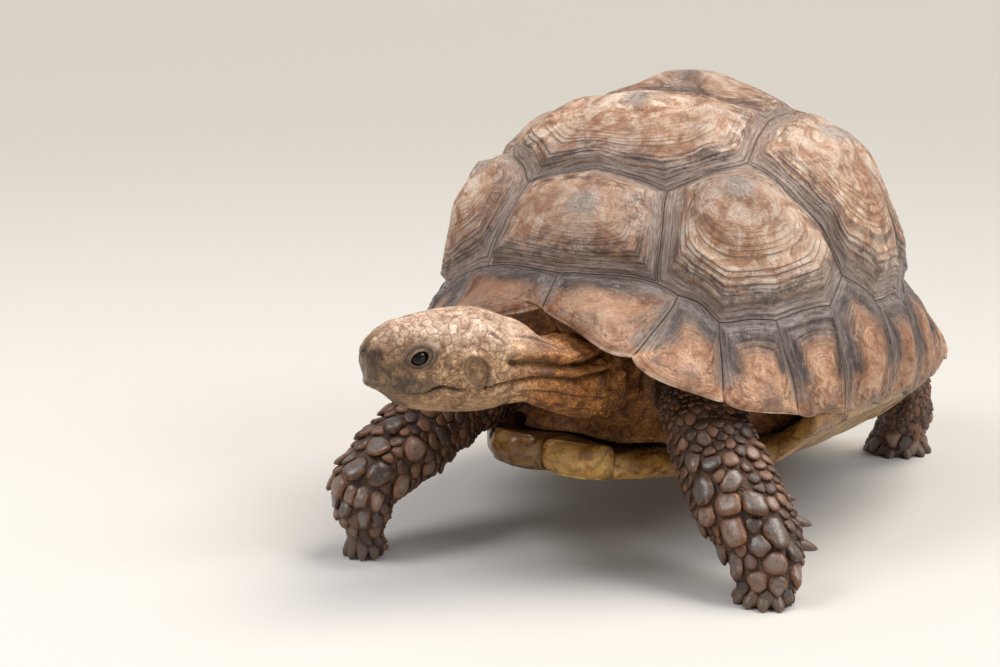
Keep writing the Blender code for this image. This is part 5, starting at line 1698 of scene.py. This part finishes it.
class TORTOISE_OT_stage(bpy.types.Operator):
    """Lay the pale floor and set the soft lights and the camera"""

    bl_idname = "tortoise.stage"
    bl_label = "Stage"

    def execute(self, context):
        settings = context.scene.tortoise_stage
        half = settings.spread / 2
        mesh = bpy.data.meshes.new("floor")
        corners = [(-half, -half, 0), (half, -half, 0), (half, half, 0), (-half, half, 0)]
        mesh.from_pydata(corners, [], [(0, 1, 2, 3)])
        made, put, shader, where = new_finish("Matt pale floor")
        tone = put("mix", put("noise", where, grain(20), 4), tuple(settings.floor), "#c4c1bb")
        shader.inputs["Roughness"].default_value = 0.9
        made.node_tree.links.new(tone, shader.inputs["Base Color"])
        mesh.materials.append(made)
        placed_object("floor", mesh)
        lights = (  # place, aimed at, size, watts, colour
            ((-0.8, -1.2, 1.9), (0, -0.15, 0.2), 1.1, 26, "#fbf9ff"),
            ((1.7, 0.1, 1.5), (0, 0, 0.15), 1.0, 22, "#eef3ff"),
        )
        sun = bpy.data.lights.new("skylight", "SUN")
        sun.energy, sun.angle, sun.color = settings.sun, math.radians(38), colour("#fff6ea")[:3]
        made = placed_object("skylight", sun)
        made.rotation_euler = Vector((-0.3, -0.42, -1.0)).to_track_quat("-Z", "Y").to_euler()
        for number, (place, aim, size, watts, tint) in enumerate(lights):
            lamp = bpy.data.lights.new(f"softbox_{number + 1}", "AREA")
            lamp.shape, lamp.size, lamp.energy, lamp.color = "DISK", size, watts, colour(tint)[:3]
            made = placed_object(lamp.name, lamp)
            made.location = place
            made.rotation_euler = (Vector(aim) - Vector(place)).to_track_quat("-Z", "Y").to_euler()
        sky = bpy.data.worlds.new("Soft studio")
        sky.use_nodes = True
        sky.node_tree.nodes["Background"].inputs["Color"].default_value = colour("#e9edf2")
        sky.node_tree.nodes["Background"].inputs["Strength"].default_value = 0.54
        context.scene.world = sky
        context.scene.view_settings.view_transform = "Standard"
        view = bpy.data.cameras.new("camera")
        view.lens, view.sensor_width, view.clip_end = settings.lens, 36, 900
        eye = placed_object("camera", view)
        eye.location = settings.place
        eye.rotation_euler = (math.radians(90 - settings.tilt), 0, math.radians(settings.turn))
        context.scene.camera = eye
        return {"FINISHED"}


class HideSettings(bpy.types.PropertyGroup):
    leg_inset: length("Leg inset", 0.0018, "How far the legs' skin lies inside the frame, for their scales")
    trunk_inset: length("Trunk inset", 0.0012, "How far the body's skin lies inside the frame")
    plate_gap: length("Under the plates", 0.0122, "From a plate's top to the body below it")
    blend: length("Blend", 0.012, "How far a limb's root is blended into the body")
    scale_groove: length("Scale groove", 0.00045, "Depth between the small scales of the head")
    lid_long: length("Eye opening", 0.0059, "Half length of the opening between the lids")
    lid_high: length("Opening height", 0.0041, "Half height of the opening between the lids")
    lid_thick: length("Lid", 0.0008, "Thickness of a lid")
    head_rows: count("Head rows", 190, "Rows of faces from the snout to the skull's back")
    head_sides: count("Head sides", 210, "Faces round the head and neck")
    neck_rows: count("Neck rows", 100, "Rows of faces along the neck")
    leg_rows: count("Leg rows", 84, "Rows of faces down a leg")
    leg_sides: count("Leg sides", 72, "Faces round a leg")
    trunk_sides: count("Trunk sides", 150, "Faces round the body")


class ScaleSettings(bpy.types.PropertyGroup):
    small_scale: length("Small scale", 0.0023, "Radius of the smallest scales of a leg")
    middling_scale: length("Middling scale", 0.0044, "Radius of the scales between the largest")
    scale_gap: length("Gap", 0.0001, "Bare skin kept each side of a scale")
    scale_root: length("Root", 0.0007, "How deep a scale's edge is set in the skin")
    scale_height: share("Height", 0.43, "A scale's height as a share of its radius")
    scale_tilt: share("Tilt", 0.33, "How much a scale's lower edge stands out")
    packing: share("Packing", 0.84, "Distance between seeds as a share of their size")
    fill: share("Fill", 1.42, "How far a scale may grow past its size into free room")
    big_fill: share("Large fill", 1.24, "The same for the largest scales")
    overhang: share("Overhang", 0.13, "How far a scale's lower edge reaches over the next")
    scale_tries: count("Tries", 20000, "Places tried for the scales of a leg")


class EyeSettings(bpy.types.PropertyGroup):
    iris: paint("Iris", "#22160d", "Lightest colour of the iris")


class TORTOISE_OT_hide(bpy.types.Operator):
    """Raise one skin over trunk, neck, head, legs and tail, and set scales on the legs"""

    bl_idname = "tortoise.hide"
    bl_label = "Hide and leg scales"

    def execute(self, context):
        settings = context.scene.tortoise_hide
        skin, lofts = grow_skin(settings, tortoise_hide("Folded reptile hide"))
        tree, horn = tree_of(skin.data), scale_horn("Horny leg scales")
        for seed, name in enumerate(LEGS, 500):
            scales = grow_scales(name, lofts[name][0], tree, context.scene.tortoise_scales, horn, seed)
            settle(scales, "leg_skin")
        settle(skin, "head_skin", "trunk", "neck", "head", "tail", *LEGS)
        return {"FINISHED"}


class TORTOISE_OT_claws(bpy.types.Operator):
    """Grow the claws and the spurs of the legs"""

    bl_idname = "tortoise.claws"
    bl_label = "Claws and spurs"

    def execute(self, context):
        finish = claw_horn("Worn claw horn")
        claws, spurs = claw_plans()
        claws = grow_claws("claws", claws, finish, bend=0.3, blunt=0.42, fat=1.1, worn=1.04)
        spurs = grow_claws("spurs", spurs, finish, bend=0.15, blunt=0.62, fat=1.25, worn=0.84)
        settle(claws, "leg_skin")
        settle(spurs, "leg_skin")
        return {"FINISHED"}


class TORTOISE_OT_eyes(bpy.types.Operator):
    """Set the two wet eyeballs"""

    bl_idname = "tortoise.eyes"
    bl_label = "Eyes"

    def execute(self, context):
        finish = wet_eye("Wet eyeball", context.scene.tortoise_eyes.iris)
        for side in SIDES:
            settle(grow_eye(side, finish), "eye", f"eye_{side}")
        return {"FINISHED"}


class TORTOISE_PT_sidebar(bpy.types.Panel):
    """The tortoise's sizes, and a button for each group of its pieces"""

    bl_idname = "TORTOISE_PT_sidebar"
    bl_label = "Tortoise"
    bl_space_type = "VIEW_3D"
    bl_region_type = "UI"
    bl_category = "Tortoise"

    def draw(self, context):
        for key, kind, operators in GROUPS:
            box = self.layout.box()
            for operator in operators:
                box.operator(operator.bl_idname)
            for name in kind.__annotations__:
                box.prop(getattr(context.scene, key), name)


GROUPS = (
    ("tortoise_shell", ShellSettings, (TORTOISE_OT_carapace, TORTOISE_OT_plastron)),
    ("tortoise_hide", HideSettings, (TORTOISE_OT_hide,)),
    ("tortoise_scales", ScaleSettings, (TORTOISE_OT_claws,)),
    ("tortoise_eyes", EyeSettings, (TORTOISE_OT_eyes,)),
    ("tortoise_stage", StageSettings, (TORTOISE_OT_stage,)),
)


def register():
    for key, kind, operators in GROUPS:
        bpy.utils.register_class(kind)
        setattr(bpy.types.Scene, key, bpy.props.PointerProperty(type=kind))
        for operator in operators:
            bpy.utils.register_class(operator)
    bpy.utils.register_class(TORTOISE_PT_sidebar)


def unregister():
    bpy.utils.unregister_class(TORTOISE_PT_sidebar)
    for key, kind, operators in reversed(GROUPS):
        for operator in reversed(operators):
            bpy.utils.unregister_class(operator)
        delattr(bpy.types.Scene, key)
        bpy.utils.unregister_class(kind)


def main():
    register()
    for _, _, operators in GROUPS:
        for operator in operators:
            group, name = operator.bl_idname.split(".")
            getattr(getattr(bpy.ops, group), name)()


if __name__ == "__main__":
    main()
